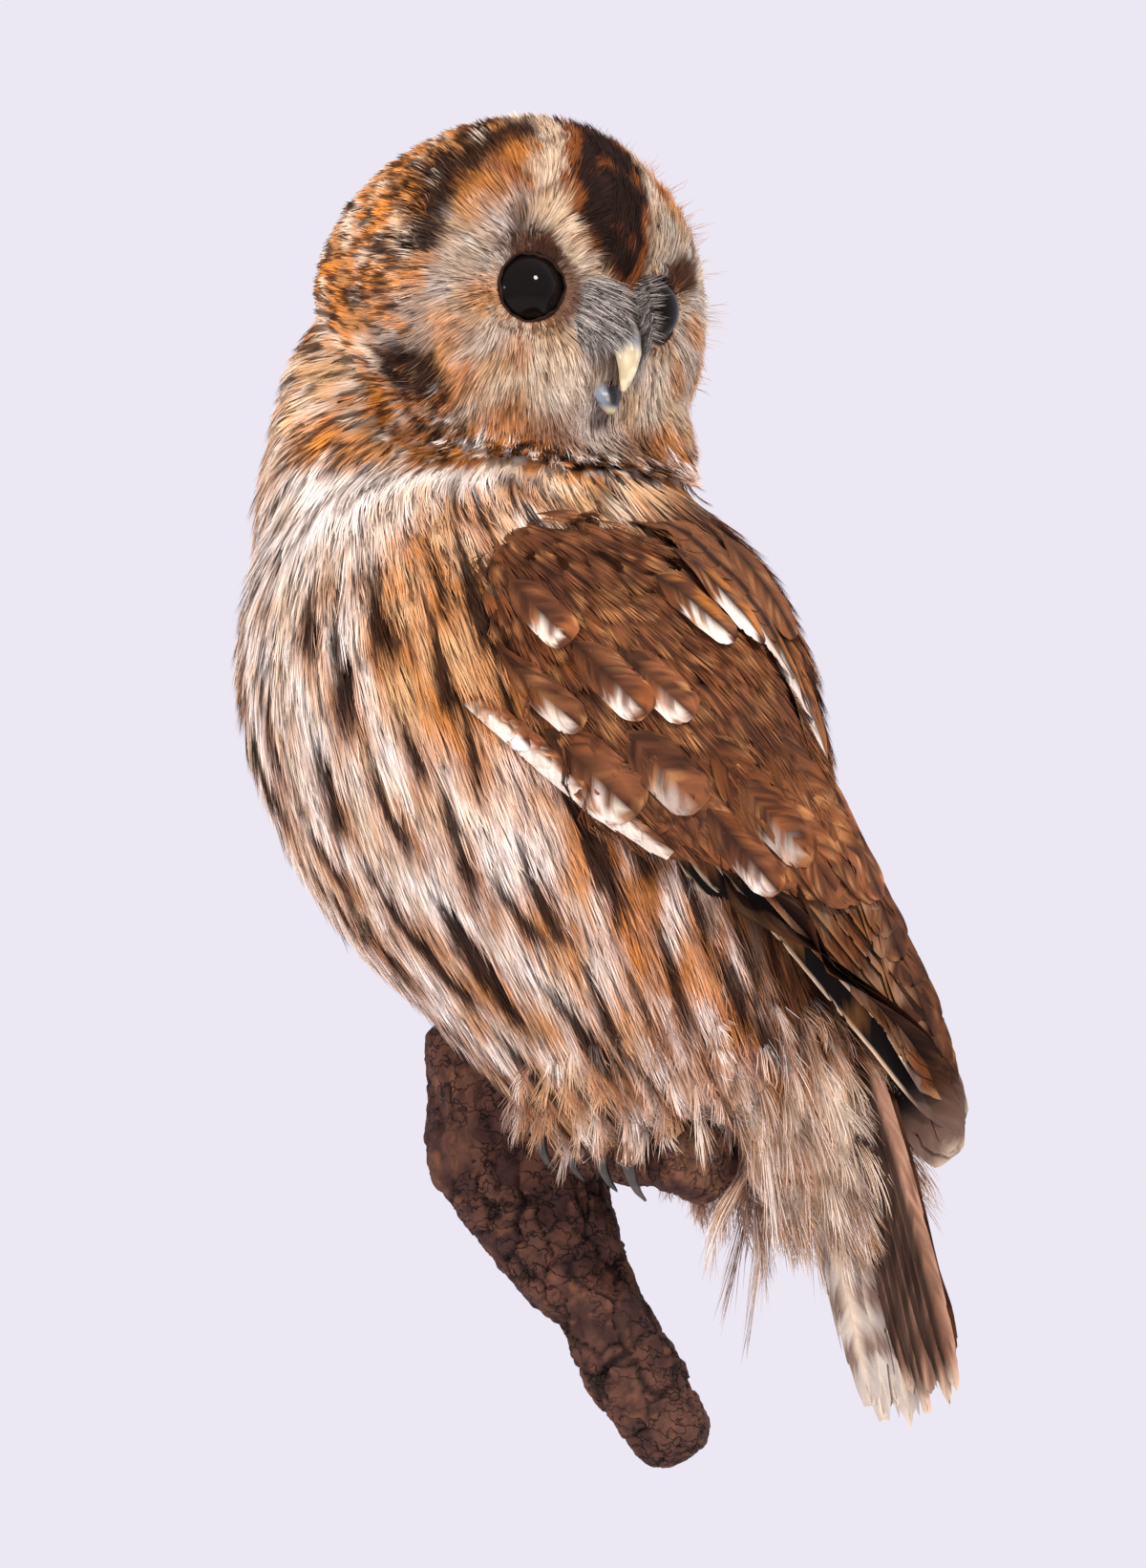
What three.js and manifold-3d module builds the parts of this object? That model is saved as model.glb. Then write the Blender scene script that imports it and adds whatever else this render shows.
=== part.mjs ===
// A mounted tawny owl on a piece of oak branch, life size, in millimetres.
//
// The bird stands on a side limb of the branch, its flank to the front, its breast towards -X, and its
// head turned far over its left shoulder. The butt of the branch is sawn flat and hangs on a wall.
// +X runs along the wall to the right, +Y into the wall, +Z up. The origin is the middle of the sawn face.
import * as THREE from 'three';
import Module from 'manifold-3d';
import { mergeVertices } from 'three/addons/utils/BufferGeometryUtils.js';

const wasm = await Module();
wasm.setup();

// ---- Driving sizes ----
const GAP = 0.3; // air between neighbouring solids
const HALF_SPACE = 800; // side of a box that stands for everything beyond a plane, wider than the whole part
const SAWN_FACE = new THREE.Vector3(-14, 80, -88); // middle of the butt's flat face, from the body's middle
const RING = 22; // points round the body, neck and head
const WING_RING = 14; // points round a wing or the tail
const BRANCH_RING = 16; // points round a piece of the branch
const BILL_RING = 10; // points round a half of the bill
const TOE_RING = 5; // points round a toe or claw
const EYE_GRID = [14, 9]; // points round an eye and along it
const FOOT_GRID = [8, 5]; // the same for the ball of a foot
const TANGENT_STEP = 0.02; // share of a curve looked ahead and back to find its direction

// Body: the breast looks along -X, turned a little to the front, and the back leans over.
const BODY_TURN = -8;
const BODY_LEAN = 67.8;

// Sections of the plumed trunk across its axis, from the rump up to the shoulders: how far up the axis,
// then how far the belly and the back stand from the axis, and half the width.
const TRUNK = [
  [-131, 30, 34, 2],
  [-126, 14, 41, 14],
  [-113, -10, 46, 25],
  [-98, -29, 49, 33],
  [-80, -41, 50, 41],
  [-62, -49, 52, 47],
  [-42, -58, 58, 53],
  [-18, -70, 66, 59],
  [8, -76, 71, 62],
  [30, -77, 70, 62],
  [48, -75, 64, 60],
  [66, -69, 57, 54],
  [81, -60, 50, 42],
  [92, -50, 42, 30],
  [99, -34, 30, 18],
  [102, -3, 3, 3],
];
const TRUNK_STEPS = 17;

// Neck, level sections from low to high: height, middle along X, half width along X and along Y.
const NECK = [
  [44, -27, 40, 34],
  [54, -27, 56, 46],
  [68, -26, 58.5, 43],
  [82, -24.5, 57.5, 36],
  [95, -24, 55, 30],
  [108, -26, 50, 26],
  [120, -28, 41, 22],
  [130, -28, 26, 16],
];
const NECK_MIDDLE_Y = 5;
const NECK_STEPS = 7;

// Head: its middle, how far it is turned to the right of the front, and how far it is tilted.
const HEAD_MIDDLE = new THREE.Vector3(-11.5, -2, 125);
const HEAD_TURN = 40;
const HEAD_TILT = 5.5;
const CHIN_SLOPE = 0.2; // how far the lower face stands forward, per height below the middle
const HEAD_SIDE = 54; // half width over the facial disc
const HEAD_CROWN = 49.5;
const HEAD_CHIN = 45;
const HEAD_BACK = 62;
const DISC_RIM = 6; // how far before the middle the rim of the disc lies
const DISC_DEPTH = 28; // from the rim forward to the middle of the face
const DISC_FLATNESS = 3.2;
const BROW_RIDGE = 4; // ridge from the crown down to the bill
const BROW_RIDGE_WIDTH = 11;
const HEAD_RINGS = 17;

// Eyes: large, forward-looking and fixed, the axes spread apart.
const EYE_RADIUS = 10.3;
const EYE_SIDE = { right: 20.8, left: 18 }; // the left eye is set nearer to the middle
const EYE_UP = 0.2;
const EYE_FORWARD = 23.2;
const EYE_DISH = 6.5; // depth of the hollow round each eye
const EYE_DISH_RADIUS = 14;
const EYE_DISH_OUTWARD = 4; // from the eye's middle out to the deepest place

// Bill, in the head's own directions: forward, up, half width, half height.
const UPPER_BILL = [
  [28, -4.5, 5.2, 5.0],
  [34, -6, 5.4, 5.2],
  [39.5, -10, 4.4, 4.2],
  [42, -15.5, 3.1, 3.0],
  [41.4, -21, 1.7, 1.7],
  [40.6, -24.4, 0.4, 0.4],
];
const LOWER_BILL = [
  [21, -16.5, 6, 2.6],
  [26.5, -18.5, 6.6, 3.2],
  [31.5, -22, 6, 3.2],
  [35, -26.5, 3.8, 2.4],
  [36.5, -29.8, 0.9, 0.7],
];
const BILL_STEPS = 7;

// Folded wing in the body's own directions: up the axis, towards the back, out to the side, half width,
// half thickness, and how far the outer face is turned towards the back in degrees.
const WING = [
  [66, -12, 46, 8, 4, -12],
  [58, -5, 55, 21, 8, -8],
  [42, 8, 61, 30, 10, 2],
  [20, 21, 63, 35, 10.5, 12],
  [-4, 32, 58, 34, 10, 24],
  [-26, 40, 50, 27, 8.5, 30],
  [-47, 46, 42, 19, 7, 34],
  [-66, 51, 36, 13.5, 5, 36],
  [-86, 55.5, 31, 10, 3.6, 36],
  [-104, 57, 28, 9.5, 2.8, 34],
  [-117, 56, 26, 9.5, 2, 32],
  [-127, 53, 25, 6, 1.2, 30],
  [-131, 51.5, 24.5, 2, 0.7, 30],
];
const WING_BEND = 58; // radius that the wing's width is bent to, round the body
const WING_STEPS = 14;
const PRIMARIES_FROM = -52; // height on the body's axis where the wing's quills leave the coverts

// Tail: middle line from the coverts to the tip, half width and half thickness.
const TAIL = [
  [64, -6, -50, 12, 6],
  [68, -7, -72, 15, 6.5],
  [74, -8, -98, 16.5, 6.2],
  [80.5, -8, -128, 17, 5.5],
  [86, -8, -152, 16, 4.2],
  [88.5, -8, -163, 13, 2.8],
  [89.2, -8, -168.5, 7, 0.8],
];
const TAIL_TWIST = 44; // how far the tail's left edge is turned to the back of the bird, in degrees
const TAIL_STEPS = 7;

// Branch: the standing piece, the side limb that carries the bird, and the butt that meets the wall.
const STEM = [
  [-24, 32, -61, 8, 7],
  [-22, 32, -64, 18, 13],
  [-17, 32, -72, 23.5, 17],
  [-15.5, 31, -88, 24.5, 18],
  [-14.5, 29, -103, 24.5, 18],
  [-7.5, 25, -118, 21, 17],
  [2, 21, -134, 16.2, 15],
  [10.5, 18, -145, 13.8, 13],
  [17, 15, -157, 14.5, 12.5],
  [23.5, 12, -169, 13.2, 11.5],
  [24, 11, -176, 9.5, 8],
  [23, 11, -180, 3, 3],
];
const STEM_STEPS = 16;
const LIMB_STEPS = 8;
const LIMB_START = new THREE.Vector3(-10, 36, -86);
const LIMB_END = new THREE.Vector3(34.5, -20, -97.5);
const LIMB_RADIUS = 14;
const LIMB_TIP_RADIUS = 12;
const LIMB_ROUNDING = 3; // how far its rounded end stands out
const LIMB_END_RADIUS = 8.4; // of that end's face
const BUTT_START = new THREE.Vector3(-14, 30, -90);
const BUTT_RADIUS = 16;
const BUTT_FACE_RADIUS = 19;
const BUTT_HEIGHT = 0.9; // the butt's height against its width
const BARK_RELIEF = 1.1; // depth of the lumps in the bark
// Waves that add up to those lumps, longer along the grain than across it: how fast each turns along
// X, Y and Z in radians per millimetre, where it starts, and its share of the relief.
const BARK_WAVES = [
  [0.52, 0.31, 0, 1.7, 0.6],
  [-0.23, 0.63, 0, 0, 0.6],
  [0.11, 0, 0.27, 0, 0.45],
  [0, 0.4, 0.61, 2.1, 0.45],
];
const BARK_ROOM = 5; // room that the plumage leaves round the branch, more than the highest lump
const ROOM_SHARE = 0.5; // steps and sides of that room, against the branch's own

// Legs and feet: place of each foot along the limb, and the toes that close round it.
const FEET = { left: 0.79, right: 0.43 };
const LEG_CUT = -62; // height of the cut between the trunk and the plumed legs
const VENT_CUT = 47; // place along X of the cut between the legs and the vent
const TOE_BASE_RADIUS = 4.4; // where a toe leaves the foot
const TOE_TIP_RADIUS = 2.9; // where its claw begins
const GRIP_STEPS = 3; // steps along a toe or claw
const TOE_SPREAD = 6; // from the middle of the foot to each toe of a pair
const TOE_CLEARANCE = 2.2; // from the plain limb to the underside of a toe, over the lumps
const TOE_START = 88; // degrees round the limb, 90 is its top, more is to the front of the bird
const FOOT_RADIUS = 8.4; // of the foot where its toes meet
const FOOT_HEIGHT = 18.6; // of that ball's middle over the limb's middle line
const PLUME_ROOM = 4; // room round it inside the leg's plumage
const FRONT_TOE_END = 186;
const HIND_TOE_END = -8;
const CLAW_SWEEP = 42;
const CLAW_RADIUS = 2.2;
const CLAW_CLEARANCE = 1.4; // degrees round the limb between a toe and its claw
const CLAW_TIP_RADIUS = 0.35;

// ---- Colours ----
const COAT_BROWN = new THREE.Color(0.42, 0.24, 0.12);
const COAT_BUFF = new THREE.Color(0.72, 0.5, 0.3);
const COAT_CREAM = new THREE.Color(0.8, 0.68, 0.52);
const EYE_BLACK = new THREE.Color(0.01, 0.01, 0.012);
const BILL_IVORY = new THREE.Color(0.78, 0.7, 0.45);
const BILL_GREY = new THREE.Color(0.3, 0.32, 0.36);
const CLAW_BLACK = new THREE.Color(0.04, 0.035, 0.03);
const BARK_DARK = new THREE.Color(0.2, 0.12, 0.08);

// ---- Geometry helpers ----
const UP = new THREE.Vector3(0, 0, 1);
const radians = THREE.MathUtils.degToRad;

// A point at a sum of directions, each with its own length.
function reach(origin, ...terms) {
  const point = origin.clone();
  for (const [direction, length] of terms) point.addScaledVector(direction, length);
  return point;
}

// The row of values at a share of the way through a table, on a smooth curve through its rows.
function rowAt(table, share) {
  const place = share * (table.length - 1);
  const index = Math.min(Math.floor(place), table.length - 2);
  const t = place - index;
  const before = table[Math.max(index - 1, 0)];
  const start = table[index];
  const end = table[index + 1];
  const after = table[Math.min(index + 2, table.length - 1)];
  return start.map((value, k) => {
    const leaving = (end[k] - before[k]) / 2;
    const arriving = (after[k] - value) / 2;
    const rise = end[k] - value;
    const squared = 3 * rise - 2 * leaving - arriving;
    const cubed = leaving + arriving - 2 * rise;
    return value + t * (leaving + t * (squared + t * cubed));
  });
}

// A closed body through rings of points, with a fan of triangles over each end.
function loft(rings) {
  const count = rings[0].length;
  const positions = [];
  for (const ring of rings) {
    for (const point of ring) positions.push(point.x, point.y, point.z);
  }
  const faces = [];
  for (let i = 0; i < rings.length - 1; i += 1) {
    for (let j = 0; j < count; j += 1) {
      const a = i * count + j;
      const b = i * count + ((j + 1) % count);
      faces.push(a, b, b + count, a, b + count, a + count);
    }
  }
  for (const [ring, turned] of [[0, true], [rings.length - 1, false]]) {
    const middle = rings[ring].reduce((sum, p) => sum.add(p), new THREE.Vector3()).divideScalar(count);
    const tip = positions.length / 3;
    positions.push(middle.x, middle.y, middle.z);
    for (let j = 0; j < count; j += 1) {
      const a = ring * count + j;
      const b = ring * count + ((j + 1) % count);
      faces.push(...(turned ? [tip, b, a] : [tip, a, b]));
    }
  }
  const geometry = new THREE.BufferGeometry();
  geometry.setAttribute('position', new THREE.Float32BufferAttribute(positions, 3));
  geometry.setIndex(faces);
  return geometry;
}

// Six times the signed volume, to tell whether the faces point out.
function signedVolume(geometry) {
  const p = geometry.attributes.position;
  const index = geometry.index;
  const [a, b, c] = [new THREE.Vector3(), new THREE.Vector3(), new THREE.Vector3()];
  let sum = 0;
  for (let i = 0; i < index.count; i += 3) {
    a.fromBufferAttribute(p, index.getX(i));
    b.fromBufferAttribute(p, index.getX(i + 1));
    c.fromBufferAttribute(p, index.getX(i + 2));
    sum += a.dot(b.cross(c));
  }
  return sum;
}

// A geometry with nothing but its positions and faces.
function bare(geometry) {
  geometry.deleteAttribute('normal');
  geometry.deleteAttribute('uv');
  return geometry;
}

// The same body as a solid that can be joined and cut.
function solid(geometry) {
  const merged = mergeVertices(geometry, 1e-4);
  const faces = Uint32Array.from(merged.index.array);
  if (signedVolume(merged) < 0) {
    for (let i = 0; i < faces.length; i += 3) [faces[i + 1], faces[i + 2]] = [faces[i + 2], faces[i + 1]];
  }
  const vertProperties = Float32Array.from(merged.attributes.position.array);
  return new wasm.Manifold(new wasm.Mesh({ numProp: 3, vertProperties, triVerts: faces }));
}

// A solid turned back into a named mesh with its own material.
function meshOf(name, body, color, roughness) {
  const data = body.getMesh();
  const geometry = new THREE.BufferGeometry();
  geometry.setAttribute('position', new THREE.BufferAttribute(Float32Array.from(data.vertProperties), 3));
  geometry.setIndex(new THREE.BufferAttribute(Uint32Array.from(data.triVerts), 1));
  geometry.computeVertexNormals();
  const mesh = new THREE.Mesh(geometry, new THREE.MeshStandardMaterial({ color, roughness, metalness: 0 }));
  mesh.name = name;
  return mesh;
}

// Everything beyond a plane through a point, on the side its normal points to.
function beyond(point, normal) {
  const box = new THREE.BoxGeometry(HALF_SPACE, HALF_SPACE, HALF_SPACE);
  box.translate(0, 0, HALF_SPACE / 2);
  box.applyQuaternion(new THREE.Quaternion().setFromUnitVectors(UP, normal.clone().normalize()));
  box.translate(point.x, point.y, point.z);
  return solid(bare(box));
}

// An oval ring round a middle point, in the plane of two directions.
function ovalRing(middle, across, halfAcross, over, halfOver, count) {
  const ring = [];
  for (let j = 0; j < count; j += 1) {
    const angle = (j / count) * 2 * Math.PI;
    ring.push(reach(middle, [across, halfAcross * Math.cos(angle)], [over, halfOver * Math.sin(angle)]));
  }
  return ring;
}

// ---- Directions of the body and the head ----
const origin = new THREE.Vector3();
const lean = radians(BODY_LEAN);
const facing = new THREE.Vector3(-Math.cos(radians(BODY_TURN)), Math.sin(radians(BODY_TURN)), 0);
const left = UP.clone().cross(facing);
const axis = reach(origin, [facing, Math.cos(lean)], [UP, Math.sin(lean)]);
const dorsal = reach(origin, [facing, -Math.sin(lean)], [UP, Math.cos(lean)]);
const along = new THREE.Vector3(1, 0, 0);
const inward = new THREE.Vector3(0, 1, 0);

const gaze = new THREE.Vector3(Math.sin(radians(HEAD_TURN)), -Math.cos(radians(HEAD_TURN)), 0);
const levelSide = gaze.clone().cross(UP);
const headUp = reach(origin, [UP, Math.cos(radians(HEAD_TILT))], [levelSide, -Math.sin(radians(HEAD_TILT))]);
const headRight = headUp.clone().cross(gaze).negate();

// ---- Flesh ----
function trunkBody(grow) {
  const rings = [];
  for (let i = 0; i <= TRUNK_STEPS; i += 1) {
    const [height, belly, back, side] = rowAt(TRUNK, i / TRUNK_STEPS);
    const middle = reach(origin, [axis, height], [dorsal, (belly + back) / 2]);
    rings.push(ovalRing(middle, left, side + grow, dorsal, (back - belly) / 2 + grow, RING));
  }
  return solid(loft(rings));
}

function neckBody() {
  const rings = [];
  for (let i = 0; i <= NECK_STEPS; i += 1) {
    const [height, middleX, halfX, halfY] = rowAt(NECK, i / NECK_STEPS);
    const middle = new THREE.Vector3(middleX, NECK_MIDDLE_Y, height);
    rings.push(ovalRing(middle, along, halfX, inward, halfY, RING));
  }
  return solid(loft(rings));
}

// How far forward the face stands: a low dome with a ridge down its middle and a dish round each eye.
function faceForward(side, up, share) {
  const dome = DISC_DEPTH * (1 - share ** DISC_FLATNESS);
  const ridge = BROW_RIDGE * Math.exp(-((side / BROW_RIDGE_WIDTH) ** 2)) * (1 - share ** 4);
  const eyeSide = side > 0 ? EYE_SIDE.right : EYE_SIDE.left;
  const fromEye = Math.hypot(Math.abs(side) - eyeSide - EYE_DISH_OUTWARD, up - EYE_UP);
  const dish = EYE_DISH * Math.exp(-((fromEye / EYE_DISH_RADIUS) ** 2));
  return DISC_RIM + dome + ridge - dish;
}

function headBody() {
  const rings = [];
  for (let i = 1; i < HEAD_RINGS; i += 1) {
    const polar = (i / HEAD_RINGS) * Math.PI;
    const share = Math.sin(polar);
    const ring = [];
    for (let j = 0; j < RING; j += 1) {
      const angle = (j / RING) * 2 * Math.PI;
      const side = HEAD_SIDE * share * Math.cos(angle);
      const up = (Math.sin(angle) > 0 ? HEAD_CROWN : HEAD_CHIN) * share * Math.sin(angle);
      const behind = DISC_RIM + (HEAD_BACK + DISC_RIM) * Math.cos(polar);
      const slope = -CHIN_SLOPE * Math.min(up, 0) * share * share;
      const forward = slope + (polar < Math.PI / 2 ? faceForward(side, up, share) : behind);
      ring.push(reach(HEAD_MIDDLE, [headRight, side], [headUp, up], [gaze, forward]));
    }
    rings.push(ring);
  }
  return solid(loft(rings));
}

// The middle of an eye; side is 1 for the right eye and -1 for the left.
function eyeMiddle(side) {
  const aside = side > 0 ? EYE_SIDE.right : -EYE_SIDE.left;
  return reach(HEAD_MIDDLE, [headRight, aside], [headUp, EYE_UP], [gaze, EYE_FORWARD]);
}

function eyeBody(side, grow) {
  const ball = new THREE.SphereGeometry(EYE_RADIUS + grow, ...EYE_GRID);
  const middle = eyeMiddle(side);
  ball.translate(middle.x, middle.y, middle.z);
  return solid(bare(ball));
}

// A bill half: an oval section carried along a curve in the head's middle plane.
function billBody(table, grow) {
  const point = (row) => reach(HEAD_MIDDLE, [gaze, row[0]], [headUp, row[1]]);
  const rings = [];
  for (let i = 0; i <= BILL_STEPS; i += 1) {
    const share = i / BILL_STEPS;
    const row = rowAt(table, share);
    const ahead = point(rowAt(table, Math.min(share + TANGENT_STEP, 1)));
    const behind = point(rowAt(table, Math.max(share - TANGENT_STEP, 0)));
    const over = headRight.clone().cross(ahead.sub(behind).normalize());
    rings.push(ovalRing(point(row), headRight, row[2] + grow, over, row[3] + grow, BILL_RING));
  }
  return solid(loft(rings));
}

// A wing folded on one side of the body; side is 1 for the left wing and -1 for the right.
function wingBody(side, grow) {
  const outward = left.clone().multiplyScalar(side);
  const place = (row) => reach(origin, [axis, row[0]], [dorsal, row[1]], [outward, row[2]]);
  const rings = [];
  for (let i = 0; i <= WING_STEPS; i += 1) {
    const share = i / WING_STEPS;
    const row = rowAt(WING, share);
    const [halfWidth, halfThick, turn] = [row[3] + grow, row[4] + grow, radians(row[5])];
    const ahead = place(rowAt(WING, Math.min(share + TANGENT_STEP, 1)));
    const behind = place(rowAt(WING, Math.max(share - TANGENT_STEP, 0)));
    const out = reach(origin, [outward, Math.cos(turn)], [dorsal, Math.sin(turn)]);
    const across = ahead.sub(behind).cross(out).normalize();
    const ring = [];
    for (let j = 0; j < WING_RING; j += 1) {
      const angle = (j / WING_RING) * 2 * Math.PI;
      const wide = halfWidth * Math.cos(angle);
      const sag = (wide * wide) / (2 * WING_BEND);
      ring.push(reach(place(row), [across, wide], [out, halfThick * Math.sin(angle) - sag]));
    }
    rings.push(ring);
  }
  return solid(loft(rings));
}

function tailBody() {
  const edge = left.clone().applyAxisAngle(UP, radians(TAIL_TWIST));
  const rings = [];
  for (let i = 0; i <= TAIL_STEPS; i += 1) {
    const [x, y, z, halfWidth, halfThick] = rowAt(TAIL, i / TAIL_STEPS);
    const over = edge.clone().cross(UP);
    rings.push(ovalRing(new THREE.Vector3(x, y, z), edge, halfWidth, over, halfThick, WING_RING));
  }
  return solid(loft(rings));
}

// ---- Branch ----
// Lumps in the bark: the sum of its waves at a point.
function bark(point) {
  return BARK_WAVES.reduce((sum, [x, y, z, start, share]) => {
    return sum + BARK_RELIEF * share * Math.sin(point.x * x + point.y * y + point.z * z + start);
  }, 0);
}

// Moves a ring's points in or out from its middle by the bark's lumps.
function roughen(ring, middle) {
  return ring.map((point) => {
    const away = point.clone().sub(middle);
    return away.setLength(Math.max(away.length() + bark(point), 0.5)).add(middle);
  });
}

// Share of the steps and sides of a piece of the branch: with a wide room round it, it is plainer.
function detail(room) {
  return room > GAP ? ROOM_SHARE : 1;
}

function branchRing(middle, across, halfAcross, over, halfOver, room) {
  const count = BRANCH_RING * detail(room);
  const ring = ovalRing(middle, across, halfAcross + room, over, halfOver + room, count);
  return room > GAP ? ring : roughen(ring, middle);
}

function stemBody(room) {
  const rings = [];
  const steps = STEM_STEPS * detail(room);
  for (let i = 0; i <= steps; i += 1) {
    const [x, y, z, halfX, halfY] = rowAt(STEM, i / steps);
    rings.push(branchRing(new THREE.Vector3(x, y, z), along, halfX, inward, halfY, room));
  }
  return solid(loft(rings));
}

const limbWay = LIMB_END.clone().sub(LIMB_START).normalize();
const limbBack = new THREE.Vector3().crossVectors(UP, limbWay).normalize();
const limbTop = new THREE.Vector3().crossVectors(limbWay, limbBack);

function limbBody(room) {
  const rings = [];
  const steps = LIMB_STEPS * detail(room);
  for (let i = 0; i <= steps; i += 1) {
    const way = i / steps;
    const middle = LIMB_START.clone().lerp(LIMB_END, way);
    const radius = THREE.MathUtils.lerp(LIMB_RADIUS, LIMB_TIP_RADIUS, way);
    rings.push(branchRing(middle, limbBack, radius, limbTop, radius, room));
  }
  const end = reach(LIMB_END, [limbWay, LIMB_ROUNDING + room]);
  rings.push(branchRing(end, limbBack, LIMB_END_RADIUS, limbTop, LIMB_END_RADIUS, room));
  return solid(loft(rings));
}

// The butt widens to a flat sawn face that lies in one plane.
function buttBody(room) {
  const rings = [];
  const steps = LIMB_STEPS * detail(room);
  for (let i = 0; i < steps; i += 1) {
    const way = i / steps;
    const middle = BUTT_START.clone().lerp(SAWN_FACE, way);
    const radius = THREE.MathUtils.lerp(BUTT_RADIUS, BUTT_FACE_RADIUS, way * way);
    const ring = branchRing(middle, along, radius, UP, radius * BUTT_HEIGHT, room);
    rings.push(ring.map((point) => point.setY(middle.y)));
  }
  const faceRadius = BUTT_FACE_RADIUS + room;
  const sides = rings[0].length;
  rings.push(ovalRing(SAWN_FACE, along, faceRadius, UP, faceRadius * BUTT_HEIGHT, sides));
  return solid(loft(rings));
}

function branchBody(room) {
  return stemBody(room).add(limbBody(room)).add(buttBody(room));
}

// ---- Legs and feet ----
function footMiddle(side) {
  return LIMB_START.clone().lerp(LIMB_END, FEET[side]);
}

// A point beside the limb at an angle round it, at a distance from its middle line.
function roundLimb(side, beside, degrees, distance) {
  const angle = radians(degrees);
  return reach(
    footMiddle(side),
    [limbWay, beside],
    [limbBack, distance * Math.cos(angle)],
    [limbTop, distance * Math.sin(angle)],
  );
}

// A rounded rod that follows the limb's surface from one angle to another, its radius changing on the way.
function gripBody(side, beside, from, to, startRadius, endRadius, grow) {
  const rings = [];
  const overshoot = THREE.MathUtils.radToDeg(grow / LIMB_RADIUS) * Math.sign(to - from);
  for (let i = 0; i <= GRIP_STEPS; i += 1) {
    const share = i / GRIP_STEPS;
    const radius = THREE.MathUtils.lerp(startRadius, endRadius, share);
    const distance = LIMB_RADIUS + TOE_CLEARANCE + radius;
    const middle = roundLimb(side, beside, from + (to + overshoot - from) * share, distance);
    const outward = middle.clone().sub(roundLimb(side, beside, 0, 0)).normalize();
    rings.push(ovalRing(middle, limbWay, radius + grow, outward, radius + grow, TOE_RING));
  }
  return solid(loft(rings));
}

function footBody(side, grow) {
  const toes = [];
  for (const beside of [-TOE_SPREAD, TOE_SPREAD]) {
    toes.push(gripBody(side, beside, TOE_START, FRONT_TOE_END, TOE_BASE_RADIUS, TOE_TIP_RADIUS, grow));
    toes.push(gripBody(side, beside, TOE_START, HIND_TOE_END, TOE_BASE_RADIUS, TOE_TIP_RADIUS, grow));
  }
  const sole = roundLimb(side, 0, 90, FOOT_HEIGHT);
  const ball = new THREE.SphereGeometry(FOOT_RADIUS + (grow ? PLUME_ROOM : 0), ...FOOT_GRID);
  ball.translate(sole.x, sole.y, sole.z);
  return toes.reduce((sum, toe) => sum.add(toe), solid(bare(ball)));
}

// The claws of one foot, each as its own solid.
function clawBodies(side, grow) {
  const claws = [];
  for (const beside of [-TOE_SPREAD, TOE_SPREAD]) {
    for (const [end, way] of [[FRONT_TOE_END, 1], [HIND_TOE_END, -1]]) {
      const from = end + way * CLAW_CLEARANCE * (grow ? -1 : 1);
      claws.push(gripBody(side, beside, from, end + way * CLAW_SWEEP, CLAW_RADIUS, CLAW_TIP_RADIUS, grow));
    }
  }
  return claws;
}

// ---- Assembly ----
const HEAD_CUT = 84; // height of the cut between head and neck
const NECK_CUT = 66; // height of the cut between neck and trunk

const branch = branchBody(0);
const barkRoom = branchBody(GAP);
const branchRoom = branchBody(BARK_ROOM);
const trunkRoom = trunkBody(GAP);
const feetRoom = ['left', 'right'].reduce((room, side) => {
  return clawBodies(side, 2 * GAP).reduce((sum, claw) => sum.add(claw), room.add(footBody(side, 2 * GAP)));
}, branchRoom);
const billRoom = billBody(UPPER_BILL, GAP).add(billBody(LOWER_BILL, GAP));
const eyeRoom = eyeBody(1, GAP).add(eyeBody(-1, GAP));
const headAndNeck = headBody().add(neckBody());
const flesh = headAndNeck.add(trunkBody(0)).subtract(feetRoom);

// The part of the flesh beyond each of several planes; every plane leaves half a gap on its own side.
function fleshBeyond(...planes) {
  return planes.reduce((body, [point, normal]) => {
    return body.intersect(beyond(reach(point, [normal, GAP / 2]), normal));
  }, flesh);
}

const DOWN = UP.clone().negate();
const against = along.clone().negate();
const headPlane = new THREE.Vector3(0, 0, HEAD_CUT);
const neckPlane = new THREE.Vector3(0, 0, NECK_CUT);
const legPlane = new THREE.Vector3(0, 0, LEG_CUT);
const ventPlane = new THREE.Vector3(VENT_CUT, 0, 0);

const owl = new THREE.Group();
const head = fleshBeyond([headPlane, UP]).subtract(eyeRoom).subtract(billRoom);
const belly = fleshBeyond([neckPlane, DOWN], [legPlane, UP]);
const vent = fleshBeyond([ventPlane, along], [legPlane, DOWN]);
owl.add(meshOf('branch', branch, BARK_DARK, 0.9));
owl.add(meshOf('head', head, COAT_BUFF, 0.8));
owl.add(meshOf('neck', fleshBeyond([neckPlane, UP], [headPlane, DOWN]), COAT_CREAM, 0.8));
owl.add(meshOf('trunk', belly, COAT_CREAM, 0.8));
owl.add(meshOf('vent', vent, COAT_BUFF, 0.8));
owl.add(meshOf('bill_upper', billBody(UPPER_BILL, 0), BILL_IVORY, 0.35));
owl.add(meshOf('bill_lower', billBody(LOWER_BILL, 0).subtract(billBody(UPPER_BILL, GAP)), BILL_GREY, 0.35));
owl.add(meshOf('eye_right', eyeBody(1, 0), EYE_BLACK, 0.05));
owl.add(meshOf('eye_left', eyeBody(-1, 0), EYE_BLACK, 0.05));

const quillPlane = axis.clone().multiplyScalar(PRIMARIES_FROM);
for (const [name, side] of [['left', 1], ['right', -1]]) {
  const wing = wingBody(side, 0).subtract(trunkRoom).subtract(headAndNeck);
  const arm = wing.intersect(beyond(reach(quillPlane, [axis, GAP / 2]), axis));
  const quills = wing.intersect(beyond(reach(quillPlane, [axis, -GAP / 2]), axis.clone().negate()));
  owl.add(meshOf(`wing_${name}`, arm, COAT_BROWN, 0.8));
  owl.add(meshOf(`primaries_${name}`, quills, COAT_BROWN, 0.7));
}

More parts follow.
